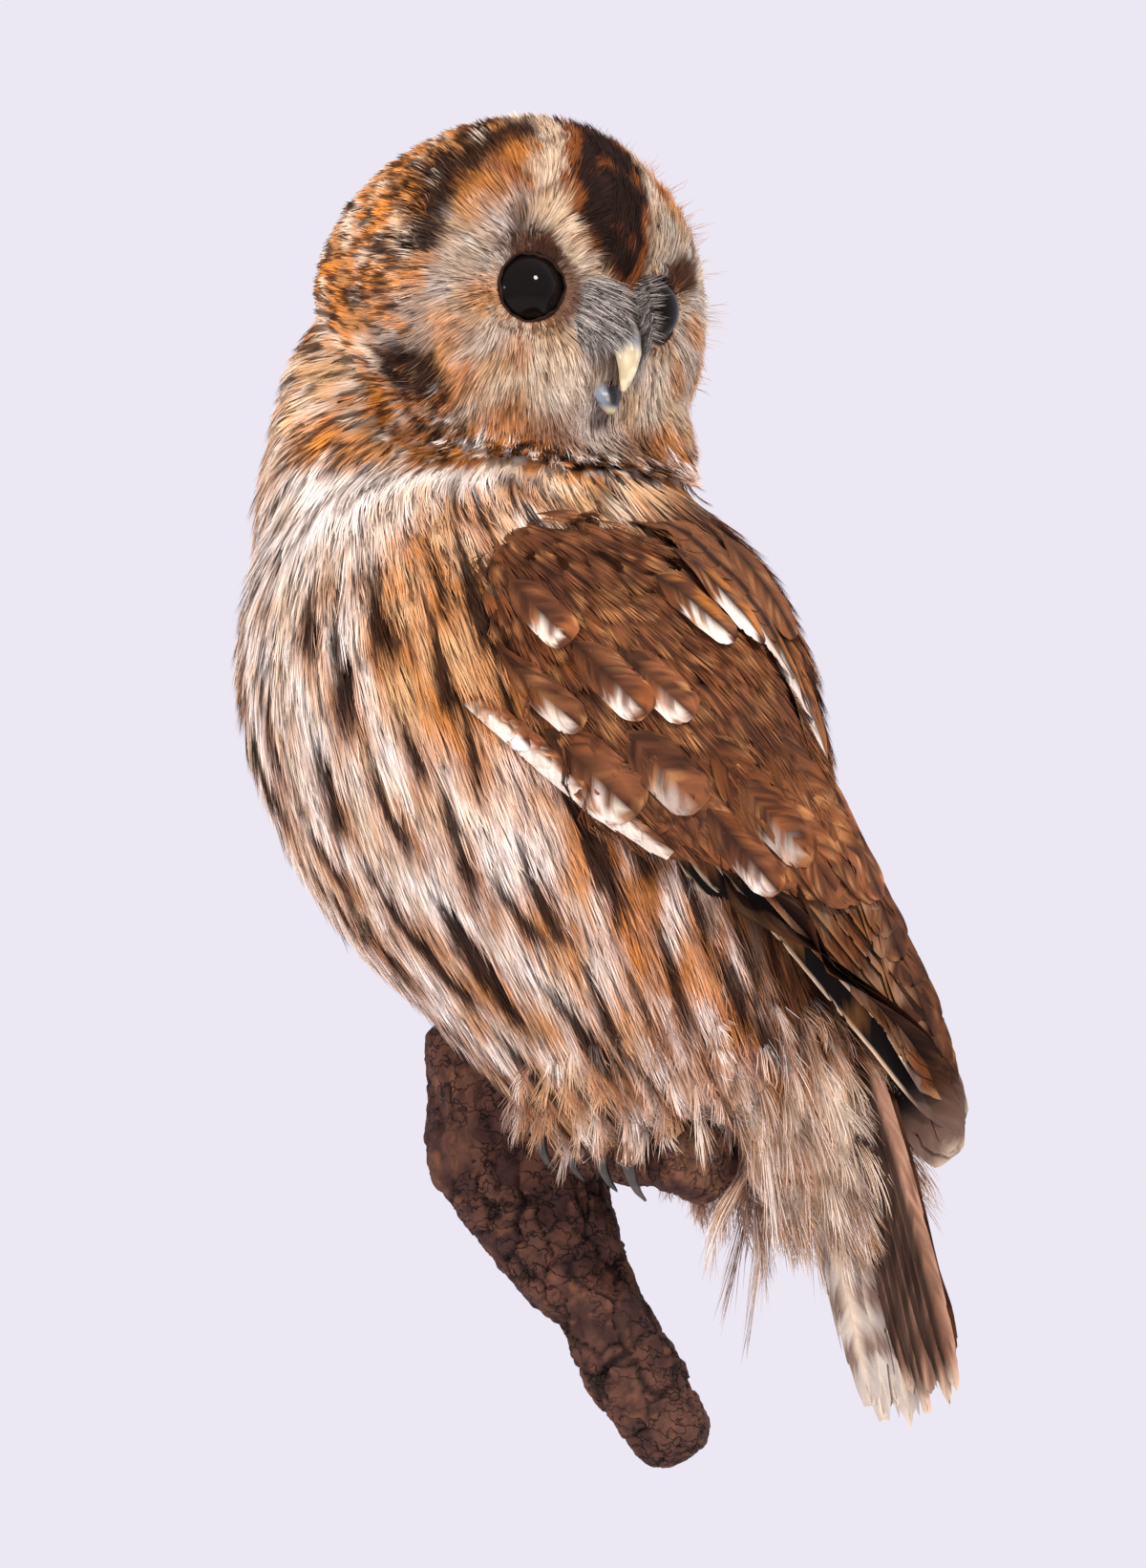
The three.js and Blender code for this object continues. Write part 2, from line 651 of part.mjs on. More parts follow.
const wingRoom = wingBody(1, GAP).add(wingBody(-1, GAP));
owl.add(meshOf('tail', tailBody().subtract(trunkRoom).subtract(wingRoom), COAT_BROWN, 0.75));

for (const [name, side] of [['left', left], ['right', left.clone().negate()]]) {
  const leg = fleshBeyond([ventPlane, against], [legPlane, DOWN], [new THREE.Vector3(), side]);
  owl.add(meshOf(`leg_${name}`, leg, COAT_CREAM, 0.8));
  owl.add(meshOf(`foot_${name}`, footBody(name, 0).subtract(barkRoom), COAT_CREAM, 0.8));
  clawBodies(name, 0).forEach((claw, i) => {
    owl.add(meshOf(`claw_${name}_${i + 1}`, claw.subtract(barkRoom), CLAW_BLACK, 0.3));
  });
}

const part = new THREE.Group();
owl.position.copy(SAWN_FACE).negate();
part.add(owl);

export default part;
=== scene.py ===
"""A taxidermy tawny owl on its piece of branch: skin, feathers, eyes, bill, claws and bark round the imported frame.

Lengths are millimetres in the bird's own frame, whose origin is the middle of its body; a mesh is turned into
metres in the row frame when it is made. Colours are sRGB, as seen, and made linear at the end.
"""

import math

import bmesh
import bpy
import numpy as np
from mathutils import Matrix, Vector
from mathutils.bvhtree import BVHTree
from mathutils.kdtree import KDTree


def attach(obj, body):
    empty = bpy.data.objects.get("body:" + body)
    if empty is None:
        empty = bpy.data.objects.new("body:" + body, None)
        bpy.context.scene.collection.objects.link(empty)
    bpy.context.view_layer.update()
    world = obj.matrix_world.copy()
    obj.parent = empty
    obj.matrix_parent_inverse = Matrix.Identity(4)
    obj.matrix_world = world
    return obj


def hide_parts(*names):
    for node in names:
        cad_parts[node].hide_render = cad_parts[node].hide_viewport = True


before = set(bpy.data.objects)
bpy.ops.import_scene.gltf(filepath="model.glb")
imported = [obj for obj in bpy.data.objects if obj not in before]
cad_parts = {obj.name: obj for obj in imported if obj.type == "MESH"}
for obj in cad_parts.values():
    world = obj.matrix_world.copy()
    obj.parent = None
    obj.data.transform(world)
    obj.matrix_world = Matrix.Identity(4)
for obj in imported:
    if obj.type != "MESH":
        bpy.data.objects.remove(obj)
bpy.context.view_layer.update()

# ---- The bird's frame ----
SAWN_FACE = np.array((-14.0, 80.0, -88.0))  # the row frame's origin, seen from the middle of the body
BODY_TURN = math.radians(8)
BODY_LEAN = math.radians(67.8)
HEAD_MIDDLE = np.array((-11.5, -2.0, 125.0))
HEAD_TURN = math.radians(40)
HEAD_TILT = math.radians(5.5)
EYE_RADIUS = 10.3
EYE_PLACE = {1: np.array((23.2, 20.8, 0.2)), -1: np.array((23.2, -18.0, 0.2))}  # forward, right, up; by side

UP = np.array((0.0, 0.0, 1.0))
FACING = np.array((-math.cos(BODY_TURN), -math.sin(BODY_TURN), 0.0))
LEFT = np.cross(UP, FACING)
AXIS = FACING * math.cos(BODY_LEAN) + UP * math.sin(BODY_LEAN)
DORSAL = -FACING * math.sin(BODY_LEAN) + UP * math.cos(BODY_LEAN)
GAZE = np.array((math.sin(HEAD_TURN), -math.cos(HEAD_TURN), 0.0))
LEVEL_SIDE = np.cross(GAZE, UP)
HEAD_UP = UP * math.cos(HEAD_TILT) - LEVEL_SIDE * math.sin(HEAD_TILT)
HEAD_RIGHT = LEVEL_SIDE * math.cos(HEAD_TILT) + UP * math.sin(HEAD_TILT)
BILL_ROOT = HEAD_MIDDLE + GAZE * 30 - HEAD_UP * 4 - HEAD_RIGHT * 1

rng = np.random.default_rng(7)


def unit(v):
    return v / np.maximum(np.linalg.norm(v, axis=-1, keepdims=True), 1e-9)


def dot(a, b):
    return np.sum(a * b, axis=-1)


def tangent(v, normal):
    return unit(v - normal * dot(v, normal)[..., None])


def ramp(x, low, high):
    """0 below low, 1 above high, and smooth between; low may be the larger."""
    t = np.clip((x - low) / (high - low), 0, 1)
    return t * t * (3 - 2 * t)


def mix(a, b, share):
    share = np.asarray(share)[..., None]
    return a * (1 - share) + b * share


def body_place(p):
    """Up the body's axis, towards its back, and towards its left side."""
    return p @ AXIS, p @ DORSAL, p @ LEFT


def head_place(p):
    """Forward, towards the head's right side, and up, from the middle of the head."""
    h = p - HEAD_MIDDLE
    return h @ GAZE, h @ HEAD_RIGHT, h @ HEAD_UP


# ---- Noise ----
def hashed(cells, seed):
    x, y, z = (cells[..., i].astype(np.uint32) for i in range(3))
    h = x * np.uint32(374761393) + y * np.uint32(668265263) + z * np.uint32(2246822519)
    h = h + np.uint32((seed * 3266489917) & 0xFFFFFFFF)
    h = (h ^ (h >> np.uint32(13))) * np.uint32(1274126177)
    h = (h ^ (h >> np.uint32(16))) * np.uint32(2654435761)
    return ((h ^ (h >> np.uint32(15))) & np.uint32(0xFFFFFF)).astype(np.float32) / 0xFFFFFF


def noise(p, size, seed=0):
    """Smooth value noise from 0 to 1 with lumps about size across."""
    q = p / size
    low = np.floor(q)
    t = q - low
    t = t * t * (3 - 2 * t)
    low = low.astype(np.int64)
    total = 0.0
    for i in (0, 1):
        for j in (0, 1):
            for k in (0, 1):
                share = np.abs(1 - i - t[..., 0]) * np.abs(1 - j - t[..., 1]) * np.abs(1 - k - t[..., 2])
                total = total + share * hashed(low + np.array((i, j, k)), seed)
    return total


def rough_noise(p, size, seed=0):
    return 0.6 * noise(p, size, seed) + 0.28 * noise(p, size * 0.47, seed + 1) + 0.12 * noise(p, size * 0.21, seed + 2)


# ---- Meshes ----
def srgb(r, g, b):
    c = np.array((r, g, b)) / 255
    return np.where(c <= 0.04045, c / 12.92, ((c + 0.055) / 1.055) ** 2.4)


def to_row(p):
    return (p - SAWN_FACE) / 1000


def new_mesh(name, points, faces, colours, uv=None, smooth=True):
    """A mesh object of triangles or quads with a colour at each point and, where given, a place in the bake map."""
    faces = np.asarray(faces, dtype=np.int32)
    sides = faces.shape[1]
    mesh = bpy.data.meshes.new(name)
    mesh.vertices.add(len(points))
    mesh.vertices.foreach_set("co", to_row(points).astype(np.float32).ravel())
    mesh.loops.add(faces.size)
    mesh.loops.foreach_set("vertex_index", faces.ravel())
    mesh.polygons.add(len(faces))
    mesh.polygons.foreach_set("loop_start", np.arange(0, faces.size, sides, dtype=np.int32))
    mesh.polygons.foreach_set("use_smooth", np.full(len(faces), smooth))
    colour = mesh.color_attributes.new("Coat", "FLOAT_COLOR", "POINT")
    rgba = np.ones((len(points), 4), dtype=np.float32)
    rgba[:, :3] = colours
    colour.data.foreach_set("color", rgba.ravel())
    if uv is not None:
        layer = mesh.uv_layers.new(name="OFBake")
        layer.data.foreach_set("uv", uv[faces.ravel()].astype(np.float32).ravel())
    mesh.update()
    mesh.validate()
    piece = bpy.data.objects.new(name, mesh)
    bpy.context.scene.collection.objects.link(piece)
    return piece


def node_union(names, voxel, grow, smoothing):
    """One closed surface round several nodes, as points and quads, with its corners smoothed."""
    joined = bmesh.new()
    for name in names:
        part = bmesh.new()
        part.from_mesh(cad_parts[name].data)
        bmesh.ops.remove_doubles(part, verts=part.verts, dist=1e-5)
        part.normal_update()
        for v in part.verts:
            v.co += v.normal * grow / 1000
        mesh = bpy.data.meshes.new("part")
        part.to_mesh(mesh)
        part.free()
        joined.from_mesh(mesh)
        bpy.data.meshes.remove(mesh)
    mesh = bpy.data.meshes.new("joined")
    joined.to_mesh(mesh)
    joined.free()
    holder = bpy.data.objects.new("joined", mesh)
    bpy.context.scene.collection.objects.link(holder)
    remesh = holder.modifiers.new("remesh", "REMESH")
    remesh.mode = "VOXEL"
    remesh.voxel_size = voxel / 1000
    shell = holder.evaluated_get(bpy.context.evaluated_depsgraph_get()).to_mesh()
    points = np.zeros(len(shell.vertices) * 3, np.float32)
    shell.vertices.foreach_get("co", points)
    points = points.reshape(-1, 3).astype(float) * 1000 + SAWN_FACE
    quads = np.zeros(len(shell.loops), np.int32)
    shell.loops.foreach_get("vertex_index", quads)
    quads = quads.reshape(-1, 4)
    holder.to_mesh_clear()
    bpy.data.objects.remove(holder)
    return smoothed(points, quads, smoothing), quads


def smoothed(points, quads, rounds, share=0.5):
    ends = np.concatenate([quads[:, (i, (i + 1) % 4)] for i in range(4)])
    count = np.bincount(ends[:, 0], minlength=len(points)) + np.bincount(ends[:, 1], minlength=len(points))
    for _ in range(rounds):
        total = np.zeros_like(points)
        for axis in range(3):
            total[:, axis] = np.bincount(ends[:, 0], points[ends[:, 1], axis], len(points))
            total[:, axis] += np.bincount(ends[:, 1], points[ends[:, 0], axis], len(points))
        points = points + (total / count[:, None] - points) * share
    return points


def point_normals(points, quads):
    across = np.cross(points[quads[:, 2]] - points[quads[:, 0]], points[quads[:, 3]] - points[quads[:, 1]])
    normals = np.zeros_like(points)
    for corner in range(4):
        for axis in range(3):
            normals[:, axis] += np.bincount(quads[:, corner], across[:, axis], len(points))
    return unit(normals)


class Surface:
    """A closed surface that feathers grow on and lie along."""

    def __init__(self, points, quads):
        self.points = points
        self.quads = quads
        self.normals = point_normals(points, quads)
        self.tree = BVHTree.FromPolygons(points.tolist(), quads.tolist())

    def nearest(self, places):
        found = np.empty_like(places)
        normals = np.empty_like(places)
        for i, place in enumerate(places.tolist()):
            spot, _, face, _ = self.tree.find_nearest(place)
            found[i] = spot
            normals[i] = self.normals[self.quads[face]].mean(axis=0)
        return found, unit(normals)

    def cast(self, starts, ways):
        """Where rays meet the surface; a ray that misses takes the nearest place to its start's foot."""
        found = np.empty_like(starts)
        normals = np.empty_like(starts)
        for i, (start, way) in enumerate(zip(starts.tolist(), ways.tolist())):
            spot, _, face, _ = self.tree.ray_cast(start, way)
            if spot is None:
                foot = Vector(start) + Vector(way) * 120
                spot, _, face, _ = self.tree.find_nearest(foot)
            found[i] = spot
            normals[i] = self.normals[self.quads[face]].mean(axis=0)
        return found, unit(normals)

    def scatter(self, spacing, keep):
        """Evenly scattered roots. spacing(points) gives the distance between them and keep(points, normals) which stay."""
        corners = self.points[self.quads]
        area = np.linalg.norm(np.cross(corners[:, 2] - corners[:, 0], corners[:, 3] - corners[:, 1]), axis=1) / 2
        gap = spacing(corners.mean(axis=1))
        weight = area / gap**2
        number = int(weight.sum() * 4)
        face = rng.choice(len(area), number, p=weight / weight.sum())
        a, b = rng.random((2, number, 1))
        c = corners[face]
        spots = (c[:, 0] * (1 - a) + c[:, 1] * a) * (1 - b) + (c[:, 3] * (1 - a) + c[:, 2] * a) * b
        normals = unit(self.normals[self.quads[face]].mean(axis=1))
        stay = keep(spots, normals)
        spots, normals, gap = spots[stay], normals[stay], gap[face][stay]
        tree = KDTree(len(spots))
        for i, spot in enumerate(spots.tolist()):
            tree.insert(spot, i)
        tree.balance()
        free = np.ones(len(spots), bool)
        chosen = []
        for i, spot in enumerate(spots.tolist()):
            if not free[i]:
                continue
            chosen.append(i)
            for _, j, _ in tree.find_range(spot, gap[i]):
                free[j] = False
        return spots[chosen], normals[chosen]


SPINE_STEPS = 5


def traced(surface, roots, normals, length, flow):
    """Spines that start at the roots and follow the surface along the flow, with the surface's normal at each step."""
    spots, ways = [roots], [normals]
    step = (length / (SPINE_STEPS - 1))[:, None]
    for _ in range(SPINE_STEPS - 1):
        ahead = spots[-1] + flow(spots[-1], ways[-1]) * step
        spot, normal = surface.nearest(ahead)
        spots.append(spot)
        ways.append(normal)
    return np.stack(spots, 1), np.stack(ways, 1)


# ---- Feathers ----
# A feather is many narrow blades, its barbs. A barb leaves the shaft at start, a share of the feather's length,
# and ends at end and at aside, a share of the feather's half width. jut is how early it swings aside.
class Barbs:
    def __init__(self, start, end, aside, root_aside, width, jut):
        self.start, self.end, self.aside, self.root_aside = start, end, aside, root_aside
        self.width, self.jut = width, jut

    def __len__(self):
        return len(self.start)


def brush(count, reach=0.55, drop=0.5, spread=0.35, width=1.6):
    """Barbs of a soft feather, nearly side by side, that end in a rounded tip."""
    across = np.linspace(-1, 1, count)
    end = 1 - drop * np.abs(across) ** 1.8
    start = np.maximum(end - reach, 0)
    return Barbs(start, end, across, across * spread, np.full(count, width * 2 / count), 1.25)


STATIONS = np.array((0.0, 0.36, 0.72, 1.0))
BLADE_PROFILE = np.array((0.75, 1.0, 0.8))


def along_spine(spine, share):
    """Places at shares (feathers, barbs, stations) of spines (feathers, steps, 3)."""
    at = np.clip(share, 0, 1) * (SPINE_STEPS - 1)
    low = np.minimum(at.astype(int), SPINE_STEPS - 2)
    part = (at - low)[..., None]
    row = np.arange(len(spine))[:, None, None]
    return spine[row, low] * (1 - part) + spine[row, low + 1] * part


def feather_mesh(name, spine, normal, half_width, barbs, paint, map_place, sink, rise=0.0, lift_power=1.0,
                 camber=0.12, untidy=0.05, wild=0.0, tilt=0.3, shaft=0.0, stack=0.0, curl=0.0):
    """One joined mesh of feathers whose spines lie on a surface.

    sink is how deep a root lies under the surface and rise how far a tip stands over it; camber lowers the edges;
    untidy and wild move barb tips in the feather and off it; stack raises whole feathers; map_place is the roots'
    places in the bake map; paint(points, share, aside, feather, barb) gives the colours.
    """
    feathers, count = len(spine), len(barbs)
    length = np.linalg.norm(np.diff(spine, axis=1), axis=2).sum(axis=1)[:, None]
    jitter = rng.normal(0, 1, (3, feathers, count))
    start = np.clip(barbs.start[None] + jitter[0] * untidy * 0.6, 0, 0.96)
    end = np.clip(barbs.end[None] + jitter[1] * untidy, start + 0.04, 1.06)
    aside = barbs.aside[None] + jitter[2] * untidy * 1.2
    root_aside = np.broadcast_to(barbs.root_aside[None], aside.shape)
    u = STATIONS[None, None]
    share = start[..., None] + (end - start)[..., None] * u
    swing = 1 - (1 - u) ** barbs.jut
    side = root_aside[..., None] + (aside - root_aside)[..., None] * swing
    middle = along_spine(spine, share)
    over = unit(along_spine(normal, share))
    ahead = unit(along_spine(spine, share + 0.06) - along_spine(spine, share - 0.06))
    across = unit(np.cross(over, ahead))
    half = np.broadcast_to(np.asarray(half_width), (feathers,))[:, None, None]
    sink = np.broadcast_to(np.asarray(sink, float), (feathers,))[:, None, None]
    rise = np.broadcast_to(np.asarray(rise, float), (feathers,))[:, None, None]
    stack = np.broadcast_to(np.asarray(stack, float), (feathers,))[:, None, None]
    height = -sink + (sink + rise) * np.clip(share, 0, 1) ** lift_power + stack
    height = height - camber * np.abs(side) ** 2 * half + curl * share**3
    height = height + rng.normal(0, 0.06, (feathers, count))[..., None]
    points = middle + across * (side * half)[..., None] + over * height[..., None]
    if wild:
        stray = rng.normal(0, wild, (feathers, count, 1, 3)) * (u**2)[..., None]
        points = points + stray
    # A blade's width lies across it in the feather's face, tilted a little.
    way = unit(np.gradient(points, axis=2))
    broad = unit(np.cross(over, way))
    lean = rng.normal(0, tilt, (feathers, count, 1, 1))
    broad = unit(broad + over * lean)
    wide = barbs.width[None, :, None] * half * BLADE_PROFILE[None, None] / 2
    left_side = points[:, :, :3] - broad[:, :, :3] * wide[..., None]
    right_side = points[:, :, :3] + broad[:, :, :3] * wide[..., None]
    feather = np.broadcast_to(np.arange(feathers)[:, None, None], share.shape)
    barb = feather * count + np.arange(count)[None, :, None]
    colours = paint(points, share, side, feather, barb)
    # Seven points a blade: two at each of three stations, and the tip.
    blade = np.stack([left_side[:, :, 0], right_side[:, :, 0], left_side[:, :, 1], right_side[:, :, 1],
                      left_side[:, :, 2], right_side[:, :, 2], points[:, :, 3]], axis=2)
    blade_colours = colours[:, :, (0, 0, 1, 1, 2, 2, 3)]
    share7, side7 = share[:, :, (0, 0, 1, 1, 2, 2, 3)], side[:, :, (0, 0, 1, 1, 2, 2, 3)]
    patch = np.stack([side7 * 0.5, share7 - 0.5], axis=-1)
    uv = map_place["root"][:, None, None] + patch * map_place["size"]
    number = feathers * count
    base = (np.arange(number) * 7)[:, None, None]
    one = np.array(((0, 1, 3), (0, 3, 2), (2, 3, 5), (2, 5, 4), (4, 5, 6)))
    faces = (base + one[None]).reshape(-1, 3)
    return {"name": name, "points": blade.reshape(-1, 3), "faces": faces,
            "colours": blade_colours.reshape(-1, 3), "uv": uv.reshape(-1, 2)}


WEB_STATIONS = np.array((0.0, 0.35, 0.65, 0.82, 1.0))
SHAFT_WIDTH = 0.55


def web_mesh(spine, normal, half_width, rows, slope, blunt, paint, map_place, stack=0.0, sink=0.8, rise=0.4,
             camber=0.1, fray=0.007, shaft_colour=None, shaft_height=0.25):
    """Firm feathers: on each side of the shaft one closed web, whose rows run as its barbs do, and a raised shaft.

    slope is how far along the feather a barb reaches, as a share of its length, and blunt the share of its length
    that its rounded tip takes; fray roughens the web's edge.
    """
    feathers = len(spine)
    place = np.arange(rows) / (rows - 1)
    start = 0.03 + 0.955 * place
    end = np.minimum(start + slope * (1 - 0.6 * place), 1)
    ragged = rng.normal(0, fray, (feathers, 1, rows + 4))
    ragged = sum(ragged[..., i:i + rows] for i in range(5)) / 2.2 * ramp(end, 0.05, 0.3)
    notch = 0.1 * (rng.random((feathers, 2, rows)) < 0.05)
    full = np.sqrt(np.clip(1 - ((end - 1 + blunt) / blunt).clip(0) ** 2, 0, 1)) * ramp(end, 0, 0.22) ** 0.6
    u = WEB_STATIONS
    share = start[:, None] + (end - start)[:, None] * u
    share = share[None, None] + ragged[..., None] * u**2
    swing = 1 - (1 - u) ** 1.9
    side = full[None, None, :, None] * swing * (1 - notch[..., None] * u**4) * np.array((1, -1))[None, :, None, None]
    flat = share.shape[:1] + (-1, len(u))
    share = np.broadcast_to(share, side.shape).reshape(flat)
    side = side.reshape(flat)
    middle, over = along_spine(spine, share), unit(along_spine(normal, share))
    ahead = unit(along_spine(spine, share + 0.06) - along_spine(spine, share - 0.06))
    across = unit(np.cross(over, ahead))
    half = np.broadcast_to(np.asarray(half_width, float), (feathers,))[:, None, None]
    levels = np.broadcast_to(np.asarray(stack, float), (feathers,))[:, None, None]
    height = levels - sink + (sink + rise) * share - camber * side**2 * half
    wave = 0.18 * np.sin(share * 21 + np.arange(feathers)[:, None, None] * 2.1 + np.sign(side)) * np.abs(side)
    points = middle + across * (side * half)[..., None] + over * (height + wave)[..., None]
    feather = np.broadcast_to(np.arange(feathers)[:, None, None], share.shape)
    barb = feather * rows * 2 + np.arange(rows * 2)[None, :, None]
    colours = paint(points, share, side, feather, barb)
    uv = map_place["root"][:, None, None] + np.stack([side * 0.5, share - 0.5], axis=-1) * map_place["size"]
    one = []
    columns = len(u)
    for web in range(2):
        for row in range(rows - 1):
            for column in range(columns - 1):
                a = (web * rows + row) * columns + column
                b, c, d = a + 1, a + columns + 1, a + columns
                one += [(a, b, c), (a, c, d)] if web else [(a, c, b), (a, d, c)]
    number = 2 * rows * columns
    faces = ((np.arange(feathers) * number)[:, None, None] + np.array(one)[None]).reshape(-1, 3)
    web = {"points": points.reshape(-1, 3), "faces": faces, "colours": colours.reshape(-1, 3), "uv": uv.reshape(-1, 2)}
    if shaft_colour is None:
        return web
    # The shaft: a low ridge of two faces along the middle.
    along = np.linspace(0, 0.96, 7)
    share = np.broadcast_to(along[None, :, None], (feathers, 7, 3))
    middle, over = along_spine(spine, share), unit(along_spine(normal, share))
    ahead = unit(along_spine(spine, share + 0.06) - along_spine(spine, share - 0.06))
    across = unit(np.cross(over, ahead))
    edge = np.array((-1.0, 0.0, 1.0))[None, None] * SHAFT_WIDTH * (1.1 - share)
    ridge = np.array((0.0, 1.0, 0.0))[None, None] * shaft_height * (1.2 - share)
    height = levels - sink + (sink + rise) * share + ridge + 0.02
    points = (middle + across * edge[..., None] + over * height[..., None]).reshape(-1, 3)
    one = []
    for step in range(6):
        for column in range(2):
            a = step * 3 + column
            one += [(a, a + 1, a + 4), (a, a + 4, a + 3)]
    faces = ((np.arange(feathers) * 21)[:, None, None] + np.array(one)[None]).reshape(-1, 3)
    uv = np.repeat(map_place["root"], 21, axis=0)
    colours = np.broadcast_to(shaft_colour, points.shape)
    return joined("web", [web, {"points": points, "faces": faces, "colours": colours, "uv": uv}])


def joined(name, parts):
    offset, faces = 0, []
    for part in parts:
        faces.append(part["faces"] + offset)
        offset += len(part["points"])
    rest = {key: np.concatenate([part[key] for part in parts]) for key in ("points", "colours", "uv")}
    return {"name": name, "faces": np.concatenate(faces), **rest}


# ---- Markings ----
WHITE = srgb(242, 230, 222)
CREAM = srgb(226, 205, 182)
BUFF = srgb(208, 166, 122)
TAN = srgb(176, 122, 76)
ORANGE = srgb(200, 124, 54)
RUST = srgb(134, 74, 34)
BROWN = srgb(92, 54, 34)
DARK = srgb(46, 26, 18)
BLACK = srgb(18, 11, 9)
GREY = srgb(150, 138, 130)
PALE_GREY = srgb(196, 184, 176)
WARM_BROWN = srgb(122, 74, 46)
STRANDS = np.stack([AXIS * 0.22, DORSAL, LEFT], axis=1)  # turns lumps of noise into strands down the body

DISC_HALF_WIDTH = 52.0
DISC_TOP = 46.0  # the disc's height over its middle, and its depth under it
DISC_BOTTOM = 41.0
DISC_LOW = 1.0  # height of the disc's middle over the head's
DISC_SQUARENESS = 2.6


def face_middle(up):
    """The face's middle line leans towards the bird's left at its top."""
    return -2 - 0.17 * np.maximum(up, 0)


def disc_share(aside, up):
    """1 on the disc's rim, less inside it."""
    tall = np.abs(up - DISC_LOW) / np.where(up > DISC_LOW, DISC_TOP, DISC_BOTTOM)
    wide = np.abs(aside) / DISC_HALF_WIDTH
    return (wide**DISC_SQUARENESS + tall**DISC_SQUARENESS) ** (1 / DISC_SQUARENESS)


def spot(x, y, place, radius):
    """1 at a place in a plane and 0 beyond a radius from it."""
    return 1 - ramp(np.hypot(x - place[0], y - place[1]), 0.35 * radius, radius)


# Patches of the disc: aside from the face's middle, up, radius, colour and strength.
DISC_PATCHES = [
    ((30, 38), 15, ORANGE, 0.9), ((16, 38), 10, RUST, 0.5), ((41, 22), 11, ORANGE, 0.6), ((37, -3), 8, ORANGE, 0.65),
    ((47, -14), 10, ORANGE, 0.6), ((42, -27), 11, ORANGE, 0.8), ((28, -17), 7, ORANGE, 0.6), ((24, -37), 12, ORANGE, 0.85),
    ((13, -37), 11, RUST, 0.7), ((34, 14), 11, PALE_GREY, 0.75), ((17, -22), 12, CREAM, 0.8),
    ((45, 4), 10, PALE_GREY, 0.6), ((35, -14), 8, PALE_GREY, 0.55), ((30, -26), 6, CREAM, 0.6),
    ((5, -18), 9, GREY, 0.9), ((10, -6), 11, GREY, 0.9), ((12, 10), 7, PALE_GREY, 0.7), ((3, -32), 9, PALE_GREY, 0.6),
]
# The dark crown wedge: heights up it, its middle from the middle of the head, and its half width.
WEDGE_UP = (0, 4, 12, 21, 31, 45, 52)
WEDGE_MIDDLE = (-2, -2.5, -1, 1.5, 0.5, -8, -10)
WEDGE_WIDE = (2.5, 5.5, 10, 12, 14, 12, 11)


